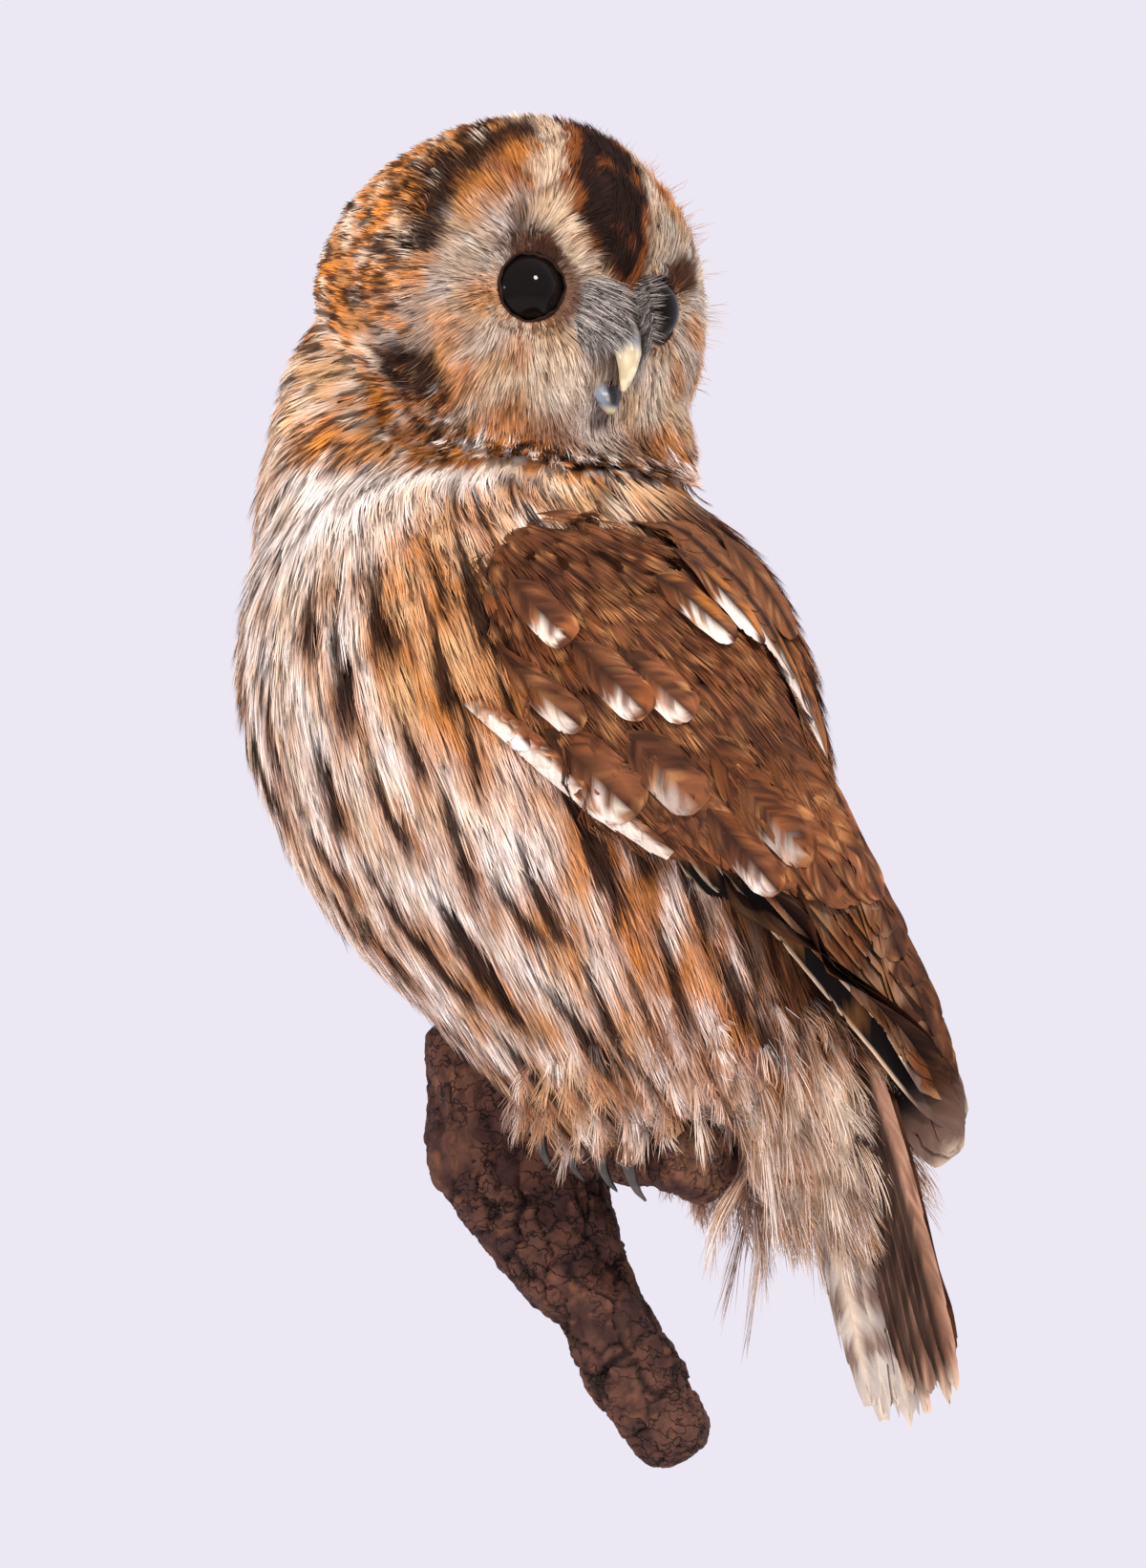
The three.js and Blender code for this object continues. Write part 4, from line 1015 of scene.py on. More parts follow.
def scapular_marks(colours, points, share, outer, own):
    edge = 0.85 * (rough_noise(points, 2.4, 93) - 0.5)
    inner = mix(ORANGE * 0.8, BROWN, ramp(noise(points, 3, 95), 0.35, 0.6))
    colours = mix(colours, inner, ramp(outer, 0.1, -0.1) * 0.6)
    white = ramp(outer + edge * 0.6, 0.02, 0.2) * ramp(share + edge * 0.5, 0.5, 0.62) * ramp(share + edge, 0.95, 0.86)
    colours = mix(colours, mix(WHITE, CREAM, noise(points, 4, 97)) * 0.78, white)
    return mix(colours, BLACK, np.maximum(ramp(np.abs(outer), 0.14, 0.05), ramp(share, 0.93, 0.99)) * 0.85)


def mantle_marks(colours, points, share, outer, own):
    colours = mix(colours, mix(BROWN, TAN, 0.3 * noise(points, 2, 87)), 0.5)
    streak = ramp(np.abs(outer), 0.34, 0.12) * ramp(share, 0.1, 0.3)
    return mix(colours, BLACK, streak * 0.85)


def secondary_marks(colours, points, share, outer, own):
    bars = ramp(np.sin(share * 34 + own * 6 + 2.5 * noise(points, 5, 99)), 0.1, 0.7)
    colours = mix(colours, mix(TAN, CREAM, noise(points, 4, 101) * 0.6), bars * ramp(outer, -0.2, 0.3) * 0.4) * 0.62
    colours = mix(colours, TAN, ramp(outer, 0.92, 0.98) * 0.35)
    return mix(colours, DARK, ramp(np.abs(outer), 0.12, 0.04) * 0.8)


def primary_marks(colours, points, share, outer, own):
    # The ground is near black. This is partly the primaries' own dark webs and partly painted shade in the gaps between
    # them.
    colours = mix(np.broadcast_to(BLACK * 0.7, colours.shape), colours * 0.5, ramp(outer, -0.2, -0.8) * 0.5)
    bars = ramp(np.sin(share * 30 + own * 4), 0.55, 0.9) * ramp(outer, 0.3, 0.5)
    colours = mix(colours, mix(ORANGE, TAN, noise(points, 5, 103)) * 0.7, bars * 0.5 * ramp(share, 0.8, 0.6))
    edge = ramp(outer, 0.93, 0.97) * ramp(share, 0.92, 0.8)
    colours = mix(colours, mix(CREAM, BUFF, noise(points, 6, 105)), edge)
    tip = mix(mix(BROWN, GREY, 0.1 + 0.3 * noise(points, 5, 106)) * 0.8, CREAM, ramp(share, 0.965, 1.0) * 0.5)
    return mix(colours, tip, ramp(share, 0.84, 0.93) * 0.9)


def pale_marks(colours, points, share, outer, own):
    pale = mix(mix(WHITE, CREAM, noise(points, 5, 107)) * 0.8, WARM_BROWN, ramp(noise(points, 2, 108), 0.6, 0.8) * 0.7)
    ragged = 1.1 * (rough_noise(points, 2.4, 109) - 0.5)
    return mix(colours, pale, ramp(share + ragged * 0.5, 0.2, 0.5) * ramp(outer + ragged, -0.5, 0.0))


# Feathers of the folded wing, from its lower edge up: root, tip, half width.
FLIGHT_ROWS = [(-8, 6, -131, 50, 8.5), (-2, 12, -127, 56, 8.5), (4, 18, -114, 67, 8.5), (8, 28, -104, 66.5, 9),
               (8, 38, -90, 66, 10), (10, 48, -74, 65, 11), (14, 56, -58, 64, 11)]
GREATER_ROWS = [(14, -6, -16, 10, 6), (12, 4, -30, 24, 7), (8, 18, -42, 37, 8), (2, 32, -52, 50, 9), (0, 46, -56, 61, 9)]
EDGE_ROWS = [(38, -26, 20, -17, 2.4), (31, -22, 8, -10, 3.4), (20, -16, -6, -2, 3.6), (6, -8, -22, 9, 3.0)]
SPOTTED_ROWS = [(58, -4, 37, 4, 5), (42, -14, 16, -1, 5), (38, 4, 13, 15, 5.5), (32, 14, 8, 25, 5.5), (20, -10, -10, 4, 8),
                (12, 8, -14, 19, 6.5), (-10, 30, -38, 42, 6), (-14, 20, -42, 31, 5)]
SCAPULAR_ROWS = [(45, 30, 22, 46, 5.5), (50, 38, 18, 54, 6.5), (42, 46, 6, 59, 7), (33, 55, -7, 62, 7),
                 (20, 60, -21, 64, 6.5), (8, 62, -36, 65, 6)]
MANTLE_ROWS = [(68, 26, 44, 38, 5.5), (66, 36, 38, 48, 6.5), (58, 46, 26, 57, 7), (47, 55, 13, 62, 7)]


def laid(side, rows):
    """Spines that start at the rows' roots and follow the shoulder towards their tips."""
    roots = AXIS * rows[:, 0:1] + DORSAL * rows[:, 1:2] + LEFT * SIDE[side] * 160
    spots, normals = shoulders[side].cast(roots, np.broadcast_to(-LEFT * SIDE[side], roots.shape))
    way = AXIS * (rows[:, 2:3] - rows[:, 0:1]) + DORSAL * (rows[:, 3:4] - rows[:, 1:2])
    length = np.linalg.norm(way, axis=1)
    return traced(shoulders[side], spots, normals, length, lambda p, normal: tangent(way, normal))


def wing_piece(side, rows, web, marks, seed, stack, count=None, bow=0.0, root_shade=0.6, on_shoulder=False, **shape):
    """Firm feathers by rows of root, tip and half width; web is its rows of barbs, slope and bluntness."""
    rows = blended_rows(rows, count or len(rows))
    hand = SIDE[side]
    spine, over = laid(side, rows) if on_shoulder else fanned(side, rows[:, 0:2], rows[:, 2:4], bow)
    levels = np.linspace(stack[0], stack[1], len(rows))
    paint = wing_paint(marks, hand, seed, root_shade)
    return web_mesh(spine, over, rows[:, 4], *web, paint, map_places(spine[:, 2]), levels, **shape)


def small_coverts(side, seed):
    surface, hand = wings[side], SIDE[side]
    out = LEFT * hand

    def keep(p, n):
        s, q, o = body_place(p)
        return (n @ out > -0.3) & (s > -4 - 0.62 * q) & (s < 76)

    spots, normals = surface.scatter(constant(4.6), keep)
    s, q, _ = body_place(spots)
    length = 15 + 9 * ramp(s, 45, 0)
    spine, over = traced(surface, spots, normals, length, wing_flow(hand))
    return feather_mesh("small", spine, over, 4.6 + 1.2 * ramp(s, 45, 0), brush(40, 0.6, 0.4, 0.6, 1.5),
                        wing_paint(plain_marks, hand, seed), map_places(spots), 2.4, rise=0.9, untidy=0.05, tilt=0.25,
                        wild=0.15)


for side in SIDE:
    flight = [
        wing_piece(side, FLIGHT_ROWS[:3], (80, 0.13, 0.09), primary_marks, 71, (-3.2, -2.0), 5, shaft_colour=BLACK),
        wing_piece(side, FLIGHT_ROWS[2:], (70, 0.17, 0.12), secondary_marks, 73, (-1.8, -0.4), 9, shaft_colour=DARK),
    ]
    pieces.append(joined(f"flight_{side}", flight))
    coverts = [
        wing_piece(side, GREATER_ROWS, (44, 0.3, 0.18), plain_marks, 75, (0, 0.6), 13),
        wing_piece(side, EDGE_ROWS, (40, 0.24, 0.3), pale_marks, 77, (0.5, 1.6), 8, on_shoulder=True, fray=0.03),
        small_coverts(side, 79),
        wing_piece(side, SPOTTED_ROWS, (36, 0.36, 0.2), spotted_marks, 81, (1.2, 1.2), fray=0.01),
        wing_piece(side, SCAPULAR_ROWS, (44, 0.32, 0.3), scapular_marks, 83, (1.6, 1.6), on_shoulder=True),
        wing_piece(side, MANTLE_ROWS, (44, 0.3, 0.32), mantle_marks, 89, (1.9, 1.9), 9, on_shoulder=True),
    ]
    pieces.append(joined(f"coverts_{side}", coverts))


# ---- Tail ----
TAIL_TWIST = math.radians(44)
TAIL_ROWS = np.array([(64, -6, -50, 12), (68, -7, -72, 15), (74, -8, -98, 16.5), (80.5, -8, -128, 17), (88, -8, -163, 15.5)])
TAIL_EDGE = np.array((LEFT[0] * math.cos(TAIL_TWIST) - LEFT[1] * math.sin(TAIL_TWIST),
                      LEFT[1] * math.cos(TAIL_TWIST) + LEFT[0] * math.sin(TAIL_TWIST), 0.0))
TAIL_UNDER = np.cross(TAIL_EDGE, UP)
RECTRICES = 12


def under_tail_marks(colours, points, share, outer, own):
    pale = mix(PALE_GREY * 0.6, mix(WHITE, CREAM, 0.5) * 0.65, noise(points, 9, 111))
    shade = ramp(-outer, -0.2, 0.8) * 0.55
    pale = mix(pale, mix(GREY, BROWN, 0.4) * 0.8, shade * ramp(share, 0.95, 0.8))
    level = points[..., 2] * 0.46 + np.sign(outer) * 0.8 + 1.5 * noise(points, 5, 113)
    bars = ramp(np.sin(level), -0.1, 0.3) * ramp(share, 0.97, 0.92)
    marked = mix(pale, mix(WARM_BROWN, GREY, 0.3) * 0.6, bars * 0.85)
    return mix(marked, CREAM * 0.9, ramp(np.abs(outer), 0.09, 0.04) * 0.8)


def tail_edge_marks(colours, points, share, outer, own):
    """Only an edge of each of these feathers is seen: warm brown, with painted shade beside it, near black where the
    next feather lies over it.
    """
    warm = mix(srgb(150, 112, 92), srgb(98, 68, 53), ramp(noise(points * (1, 1, 0.12), 1.6, 117), 0.3, 0.7))
    warm = mix(warm, srgb(200, 178, 164), (own < 0.3) * 0.65)
    # Painted shade: near black on the part of the web towards its outer edge, where the next feather lies over it.
    warm = mix(warm, BLACK, ramp(outer, 0.15, 0.6) * 0.9)
    return mix(warm, CREAM * 0.8, ramp(share, 0.93, 1.0) * 0.6)


def top_tail_marks(colours, points, share, outer, own):
    bars = ramp(np.sin(share * 38 + own * 2), 0.2, 0.6)
    return mix(mix(srgb(112, 74, 54), BROWN, noise(points, 6, 119)), DARK, bars * 0.5 + 0.3)


def tail_piece(across, under, marks, seed, half_width, shaft, tip_spread=2.5, turn=0.0, blunt=0.09, fray=0.009, lift=0.0):
    """Tail feathers side by side, at shares across the tail and at heights under its middle."""
    across, under = np.asarray(across, float), np.asarray(under, float)
    middle = TAIL_ROWS[None, :, :3]
    spread = across[:, None, None] * TAIL_ROWS[None, :, 3:] * np.linspace(0.75, 1, SPINE_STEPS)[None, :, None]
    spine = middle + TAIL_EDGE * spread + TAIL_UNDER * under[:, None, None]
    spine[:, -1, 2] += 7 * np.abs(across) ** 2 + rng.uniform(-tip_spread, tip_spread, len(across)) + lift
    over = np.broadcast_to(TAIL_UNDER * math.cos(turn) + TAIL_EDGE * math.sin(turn), spine.shape)
    return web_mesh(spine, over, half_width, 80, 0.13, blunt, wing_paint(marks, 1, seed, 0.85), map_places(spine[:, 0]),
                    sink=0.0, rise=0.0, fray=fray, shaft_colour=shaft)


def tail_down():
    """Loose grey and white down over the root of the tail's underside."""
    count = 110
    level = rng.uniform(0, 1, count)
    across = rng.uniform(-0.75, 0.25, count) * (15 + 0 * level)
    root = np.array((67.0, -7.0, -68.0)) + np.outer(level, (8.0, -1.0, -46.0)) + TAIL_EDGE * across[:, None]
    root = root + TAIL_UNDER * 3.0
    length = rng.uniform(14, 24, (count, 1))
    way = unit(np.array((0.22, 0.0, -1.0)) + TAIL_EDGE * rng.normal(0.2, 0.25, (count, 1)))
    spine = tuft_spines(root, root + way * length * 0.5 + TAIL_UNDER * 2.5, root + way * length + TAIL_UNDER * 0.8)
    over = np.broadcast_to(TAIL_UNDER, spine.shape)
    return feather_mesh("down", spine, over, 3.2, brush(26, 0.8, 0.5, 0.3, 0.7), wisp_paint(169, 1.0),
                        map_places(spine[:, 0]), 0.0, rise=0.6, untidy=0.12, wild=0.8)


def tuft_spines(roots, bends, tips):
    """Curved spines from roots through bends to tips."""
    t = np.linspace(0, 1, SPINE_STEPS)[None, :, None]
    return roots[:, None] * (1 - t) ** 2 + bends[:, None] * 2 * t * (1 - t) + tips[:, None] * t**2


def wisp_paint(seed, shade, paleness=1.0):
    def paint(points, share, side, feather, barb):
        own = np.broadcast_to(hashed(np.stack([barb, barb * 0, barb * 0 + 5], -1), seed), share.shape)
        each = hashed(np.stack([feather, feather * 0, feather * 0 + 6], -1), seed)
        colours = mix(coat_colour(points), mix(mix(GREY, TAN, 0.7), PALE_GREY, each), 0.3 * paleness)
        colours = mix(colours, mix(BROWN, RUST, own), (each < 0.34) * 0.6)
        colours = mix(colours, WHITE, ramp(own, 0.62, 0.92) * 0.6 * paleness)
        # Each wisp darkens towards its root, as painted shade among the feathers round it. Each barb also differs at
        # random.
        return colours * (shade * (0.6 + 0.4 * ramp(share, 0.0, 0.5)) * (0.8 + 0.35 * own))[..., None]
    return paint


tail = [
    tail_piece((-0.68, -0.45, -0.2, 0.05), (2.6, 2.0, 1.4, 0.8), under_tail_marks, 85, 6.5, CREAM * 0.7, 5.0, 0.0,
               0.22, 0.025),
    tail_piece(np.linspace(0.16, 1.08, 7), np.linspace(2.4, 2.8, 7), tail_edge_marks, 87, 2.7, None, 5.0, 0.5, 0.2),
    tail_piece(np.linspace(-0.7, 0.66, 9), np.linspace(-2.4, -1.2, 9), top_tail_marks, 89, 7.0, DARK, 4.0, blunt=0.16, lift=10.0),
    tail_down(),
]
pieces.append(joined("tail_feathers", tail))


# ---- Feathers round the eyes, bristles and stray hairs ----
def lid_feathers(side):
    """Small feathers rooted round the lid that lie outwards over its edge."""
    middle = head_point(*EYE_PLACE[side])
    look, across, over = eye_axes(side)
    spines, normals = [], []
    for angle, count, length in ((0.95, 90, 2.6), (1.0, 70, 3.4), (1.08, 76, 4.6), (1.2, 80, 5.6), (1.36, 80, 6.0)):
        turn = (np.arange(count) + rng.random(count) * 0.8) / count * 2 * math.pi
        outward = across * np.cos(turn)[:, None] + over * np.sin(turn)[:, None]
        root = middle + (LID_RADIUS + 0.35) * (look * math.cos(angle) + outward * math.sin(angle))
        length = length * rng.uniform(0.75, 1.2, (count, 1))
        bend = root + (outward * 0.75 + look * 0.62) * length * 0.5
        tip = root + (outward * 0.97 + look * 0.1) * length
        spines.append(tuft_spines(root, bend, tip))
        normals.append(np.broadcast_to(unit(look * 0.8 + outward * 0.5)[:, None], spines[-1].shape))
    spine, normal = np.concatenate(spines), np.concatenate(normals)
    paint = soft_paint(coat_colour, 141, 0.9)
    return feather_mesh("lid", spine, normal, 0.8, brush(8, 0.85, 0.3, 0.4, 1.1), paint, map_places(spine[:, 0]), 0.0,
                        rise=0.0, untidy=0.1, wild=0.15)


def bristle_paint(points, share, side, feather, barb):
    """Grey bristles, many of them with dark hair-like ends."""
    own = np.broadcast_to(hashed(np.stack([barb, barb * 0, barb * 0 + 7], -1), 151), share.shape)
    colours = mix(mix(GREY * 0.55, PALE_GREY * 0.8, own), WHITE * 0.9, ramp(own, 0.72, 0.9) * 0.8)
    dark = (own < 0.5) * ramp(share, 0.1, 0.4)
    # Bristles darken towards their roots, as painted shade among the face feathers.
    return mix(colours * 0.85, BLACK, dark * 0.9) * (0.62 + 0.38 * ramp(share, 0.0, 0.4))[..., None]


def bristles(side):
    """The fan of bristles from the inner corner of an eye over the root of the bill."""
    count = 560
    fan = np.linspace(0, 1, count) + rng.normal(0, 0.02, count)
    inner = rng.uniform(0, 1, count)
    root = head_point(31.5 + 1.5 * inner, side * (12.5 - 5 * inner) - 1, 4 - 13 * fan + rng.normal(0, 0.8, count))
    tip_forward = np.interp(fan, (0, 0.35, 0.7, 1), (41, 46, 44.5, 35))
    tip_right = np.interp(fan, (0, 0.35, 0.7, 1), (-2, 0.3, 3.4, 9.0))
    tip_up = np.interp(fan, (0, 0.35, 0.7, 1), (0.5, -10.5, -15, -15.5))
    tip = head_point(tip_forward, side * tip_right - 0.5, tip_up + rng.normal(0, 1.3, count))
    tip = root + (tip - root) * rng.uniform(0.55, 1.05, (count, 1))
    bend = (root + tip) / 2 + GAZE * rng.uniform(2.5, 5.0, (count, 1)) + HEAD_UP * rng.uniform(-0.5, 2.5, (count, 1))
    bend = bend + HEAD_RIGHT * side * 1.5
    spine = tuft_spines(root, bend, tip)
    normal = np.broadcast_to(unit(GAZE + HEAD_RIGHT * side * 0.6), spine.shape)
    return feather_mesh("bristles", spine, normal, 0.8, brush(6, 1.0, 0.3, 0.8, 0.42), bristle_paint,
                        map_places(spine[:, 0]), 0.0, rise=0.0, untidy=0.12, wild=0.35)


def standing_bristles():
    """Bristles that stand forward from the inner corner of the far eye and half hide it."""
    count = 90
    rise = rng.uniform(-9, 7, count)
    root = head_point(31 + rng.normal(0, 0.6, count), -8.5 + rng.normal(0, 0.8, count), rise * 0.7)
    tip = head_point(39.5 + rng.normal(0, 1, count), -12.5 + rng.normal(0, 1, count), rise * 1.25)
    bend = (root + tip) / 2 + HEAD_RIGHT * 1.5
    spine = tuft_spines(root, bend, tip)
    normal = np.broadcast_to(unit(GAZE * 0.4 + HEAD_RIGHT), spine.shape)
    return feather_mesh("standing", spine, normal, 0.8, brush(6, 1.0, 0.25, 0.8, 0.62), bristle_paint,
                        map_places(spine[:, 0]), 0.0, rise=0.0, untidy=0.12, wild=0.4)


def stray_hairs():
    """Sparse fine hairs along the outer edges of the disc."""
    count = 130
    turn = rng.uniform(0, 2 * math.pi, count)
    across, over = np.cos(turn), np.sin(turn)
    root = head_point(9 + 0 * turn, across * 47, over * 40 + 1)
    tip = head_point(14 + rng.normal(0, 2, count), across * (54 + rng.uniform(0, 4, count)), over * 48 + 1)
    spine = tuft_spines(root, (root + tip) / 2 + GAZE * 2.5, tip)
    normal = np.broadcast_to(GAZE, spine.shape)
    return feather_mesh("stray", spine, normal, 1.6, brush(4, 0.9, 0.4, 0.5, 0.14), soft_paint(coat_colour, 143, 0.9),
                        map_places(spine[:, 0]), 0.0, rise=0.0, untidy=0.2, wild=0.8)


eye_parts = [lid_feathers(1), lid_feathers(-1), bristles(1), bristles(-1), standing_bristles(), stray_hairs()]
pieces.append(joined("coat_eyes", eye_parts))


# ---- Long soft feathers under the tail and at the thighs ----
def hanging(surface, spacing, keep, length, half_width, seed, shade, way=(0.16, 0.0, -1.0), wild=0.9, paleness=1.0):
    """Loose feathers that leave the body and hang down."""
    roots, normals = surface.scatter(constant(spacing), keep)
    count = len(roots)
    ways = unit(np.array(way) + rng.normal(0, 0.14, (count, 3)))
    reach = (length * rng.uniform(0.6, 1.15, count) * (0.4 + 0.6 * ramp(roots[:, 0], 36, 56)))[:, None]
    leave = unit(ways * 0.7 + normals * 0.5)
    bends = roots + leave * reach * 0.5
    tips = bends + ways * reach * 0.5 + rng.normal(0, 1.5, (count, 3))
    spine = tuft_spines(roots - normals * 3, bends, tips)
    face = np.cross(ways, rng.normal(0, 1, (count, 3)) * 0.5 + np.array((1.0, 0, 0)))
    normal = np.broadcast_to(unit(face)[:, None], spine.shape)
    return feather_mesh("hanging", spine, normal, half_width, brush(26, 0.7, 0.45, 0.3, 0.8),
                        wisp_paint(seed, shade, paleness),
                        map_places(spine[:, 0]), 0.0, rise=0.0, untidy=0.12, wild=wild)


def at_vent(p, n):
    s, q, o = body_place(p)
    return (s < -66) & (p[:, 0] > 34) & (n[:, 2] < 0.4)


def at_thigh(p, n):
    s, q, o = body_place(p)
    return (s < -58) & (p[:, 0] <= 34) & (p[:, 0] > -16) & (p[:, 2] < -54)


def under_limb_end(p, n):
    return (p[:, 0] > 36) & (p[:, 0] < 52) & (p[:, 2] < -76)


pieces.append(joined("coat_vent", [
    hanging(body, 5.6, at_vent, 24, 3.6, 161, 0.95, paleness=0.7),
    hanging(body, 5.4, at_thigh, 32, 2.8, 163, 1.0, paleness=0.2),
    hanging(body, 9.0, under_limb_end, 48, 2.6, 165, 1.0, (0.0, -0.1, -1.0), 1.3),
]))

feet = Surface(*node_union(FOOT_NODES, 1.2, 0.2, 3))


def toe_flow(p, normal):
    return tangent(np.broadcast_to(-UP + LEFT * 0.2, p.shape) + 1e-4, normal)


roots, normals = feet.scatter(constant(1.7), lambda p, n: n[:, 2] > -0.6)
spine, over = traced(feet, roots, normals, np.full(len(roots), 7.0), toe_flow)
pieces.append(feather_mesh("coat_feet", spine, over, 1.2, brush(9, 0.8, 0.4, 0.4, 1.2), wisp_paint(167, 1.0),
                           map_places(spine[:, 0]), 0.3, rise=1.0, untidy=0.1, wild=0.3))

coats = [new_mesh(part["name"], part["points"], part["faces"], part["colours"], part["uv"]) for part in pieces]


# ---- Materials ----
def grained(name, roughness, specular, bump, detail, depth=0.0003):
    """A material in the mesh's own colours, with fine grain in its colour, its roughness and its bump."""
    material = bpy.data.materials.new(name)
    material.use_nodes = True
    nodes, links = material.node_tree.nodes, material.node_tree.links
    shader = nodes["Principled BSDF"]
    shader.inputs["Specular IOR Level"].default_value = specular
    colour = nodes.new("ShaderNodeVertexColor")
    colour.layer_name = "Coat"
    place = nodes.new("ShaderNodeTexCoord")
    grain = nodes.new("ShaderNodeTexNoise")
    grain.inputs["Scale"].default_value = detail
    grain.inputs["Detail"].default_value = 4
    links.new(place.outputs["Object"], grain.inputs["Vector"])
    shade = nodes.new("ShaderNodeMapRange")
    shade.inputs["To Min"].default_value = 0.86
    shade.inputs["To Max"].default_value = 1.14
    links.new(grain.outputs["Fac"], shade.inputs["Value"])
    tint = nodes.new("ShaderNodeVectorMath")
    tint.operation = "SCALE"
    links.new(colour.outputs["Color"], tint.inputs[0])
    links.new(shade.outputs["Result"], tint.inputs["Scale"])
    links.new(tint.outputs["Vector"], shader.inputs["Base Color"])
    span = nodes.new("ShaderNodeMapRange")
    span.inputs["To Min"].default_value = roughness * 0.8
    span.inputs["To Max"].default_value = min(roughness * 1.2, 1)
    links.new(grain.outputs["Fac"], span.inputs["Value"])
    links.new(span.outputs["Result"], shader.inputs["Roughness"])
    bumps = nodes.new("ShaderNodeBump")
    bumps.inputs["Strength"].default_value = bump
    bumps.inputs["Distance"].default_value = depth
    links.new(grain.outputs["Fac"], bumps.inputs["Height"])
    links.new(bumps.outputs["Normal"], shader.inputs["Normal"])
    return material


feather_finish = grained("plumage", 0.8, 0.12, 0.25, 1400)
for piece in coats:
    piece.data.materials.append(feather_finish)
    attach(piece, "root")
skin.data.materials.append(feather_finish)
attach(skin, "root")
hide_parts(*BODY_NODES, *FOOT_NODES, *arms)
for side in SIDE:
    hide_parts(f"primaries_{side}")
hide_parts("tail")




# ---- Bill, cere and claws ----
def smooth_copy(name, nodes, voxel, rounds, grow, colour_at):
    """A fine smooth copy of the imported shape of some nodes."""
    points, quads = node_union(nodes, voxel, grow, rounds)
    return new_mesh(name, points, quads, colour_at(points))


def upper_bill_colour(p):
    forward, _, up = head_place(p)
    colour = mix(srgb(120, 122, 128), srgb(212, 200, 168), ramp(up, -11, -16))
    return mix(colour, srgb(158, 134, 92), ramp(noise(p * (1, 1, 0.4), 1.2, 301), 0.4, 0.8) * 0.5)


def lower_bill_colour(p):
    forward, right, up = head_place(p)
    colour = mix(srgb(112, 118, 130), srgb(62, 56, 58), ramp(noise(p, 1.4, 303), 0.45, 0.8))
    colour = mix(colour, srgb(24, 18, 18), ramp(right, 3.2, 0.5) * ramp(up, -29, -27))
    return mix(colour, srgb(186, 170, 116), ramp(up, -27.5, -29.5) * 0.8)


def claw_colour(p):
    return mix(srgb(40, 36, 36), srgb(88, 80, 74), noise(p, 2.5, 305) * 0.7)


eye_glass = grained("eye_glass", 0.04, 0.09, 0.01, 900)
bill_horn = grained("bill_horn", 0.36, 0.4, 0.25, 420)
claw_horn = grained("claw_horn", 0.3, 0.4, 0.2, 600)
for name, side in (("right", 1), ("left", -1)):
    eye = eyeball(f"eyeball_{name}", side)
    eye.data.materials.append(eye_glass)
    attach(eye, "root")
    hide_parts(f"eye_{name}")
horn = [
    ("bill_upper_horn", "bill", upper_bill_colour, bill_horn, ["bill_upper"]),
    ("bill_lower_horn", "bill_grey", lower_bill_colour, bill_horn, ["bill_lower"]),
    ("claws_left", "claw", claw_colour, claw_horn, [f"claw_left_{i}" for i in range(1, 5)]),
    ("claws_right", "claw", claw_colour, claw_horn, [f"claw_right_{i}" for i in range(1, 5)]),
]
for name, slot, colour_at, material, nodes in horn:
    piece = smooth_copy(name, nodes, 0.35, 4, 0.15, colour_at)
    piece.data.materials.append(material)
    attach(piece, "root")
    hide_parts(*nodes)

# ---- Branch ----
BARK_VOXEL = 1.0
PLATE = np.array((11.0, 11.0, 17.0))  # size of a plate of bark across and along the stem


def plates(p):
    """Distance to the nearest crack between plates of bark, and the nearest plate's own number."""
    q = p / PLATE
    cell = np.floor(q).astype(np.int64)
    near = np.full(len(p), 9.0)
    second = np.full(len(p), 9.0)
    own = np.zeros(len(p))
    for i in (-1, 0, 1):
        for j in (-1, 0, 1):
            for k in (-1, 0, 1):
                here = cell + np.array((i, j, k))
                middle = here + np.stack([hashed(here, 200 + a) for a in range(3)], axis=-1)
                away = np.linalg.norm(q - middle, axis=1)
                closer = away < near
                second = np.where(closer, near, np.minimum(second, away))
                own = np.where(closer, hashed(here, 210), own)
                near = np.minimum(near, away)
    return second - near, own


def bark_points(p, normals):
    warped = p + 3.2 * np.stack([noise(p, 5, 220 + i) - 0.5 for i in range(3)], axis=-1)
    crack, own = plates(warped)
    small, _ = plates(warped * 2.3 + 40)
    height = 1.3 * ramp(crack, 0.0, 0.07) + 0.5 * ramp(small, 0.0, 0.1) + 1.3 * (own - 0.5)
    height = height + 0.9 * (noise(p, 2.6, 230) - 0.5) + 0.5 * (noise(p, 1.1, 231) - 0.5)
    slab = ramp(p[:, 2], -108, -94)
    crack = crack + 0.2 * slab
    height = height * (1 - 0.5 * slab)
    sawn = ramp(p[:, 1], 72, 77)
    return p + normals * ((height - 1.9) * (1 - sawn))[:, None], crack, small, own


branch_points, branch_quads = node_union(["branch"], BARK_VOXEL, 0.0, 3)
branch_normals = point_normals(branch_points, branch_quads)
branch_points, crack, small, own = bark_points(branch_points, branch_normals)
bark_tone = mix(srgb(58, 37, 32), srgb(86, 56, 45), ramp(rough_noise(branch_points, 6, 240), 0.35, 0.65))
bark_tone = mix(bark_tone, srgb(122, 78, 54), ramp(noise(branch_points, 2.4, 241), 0.66, 0.84) * 0.4)
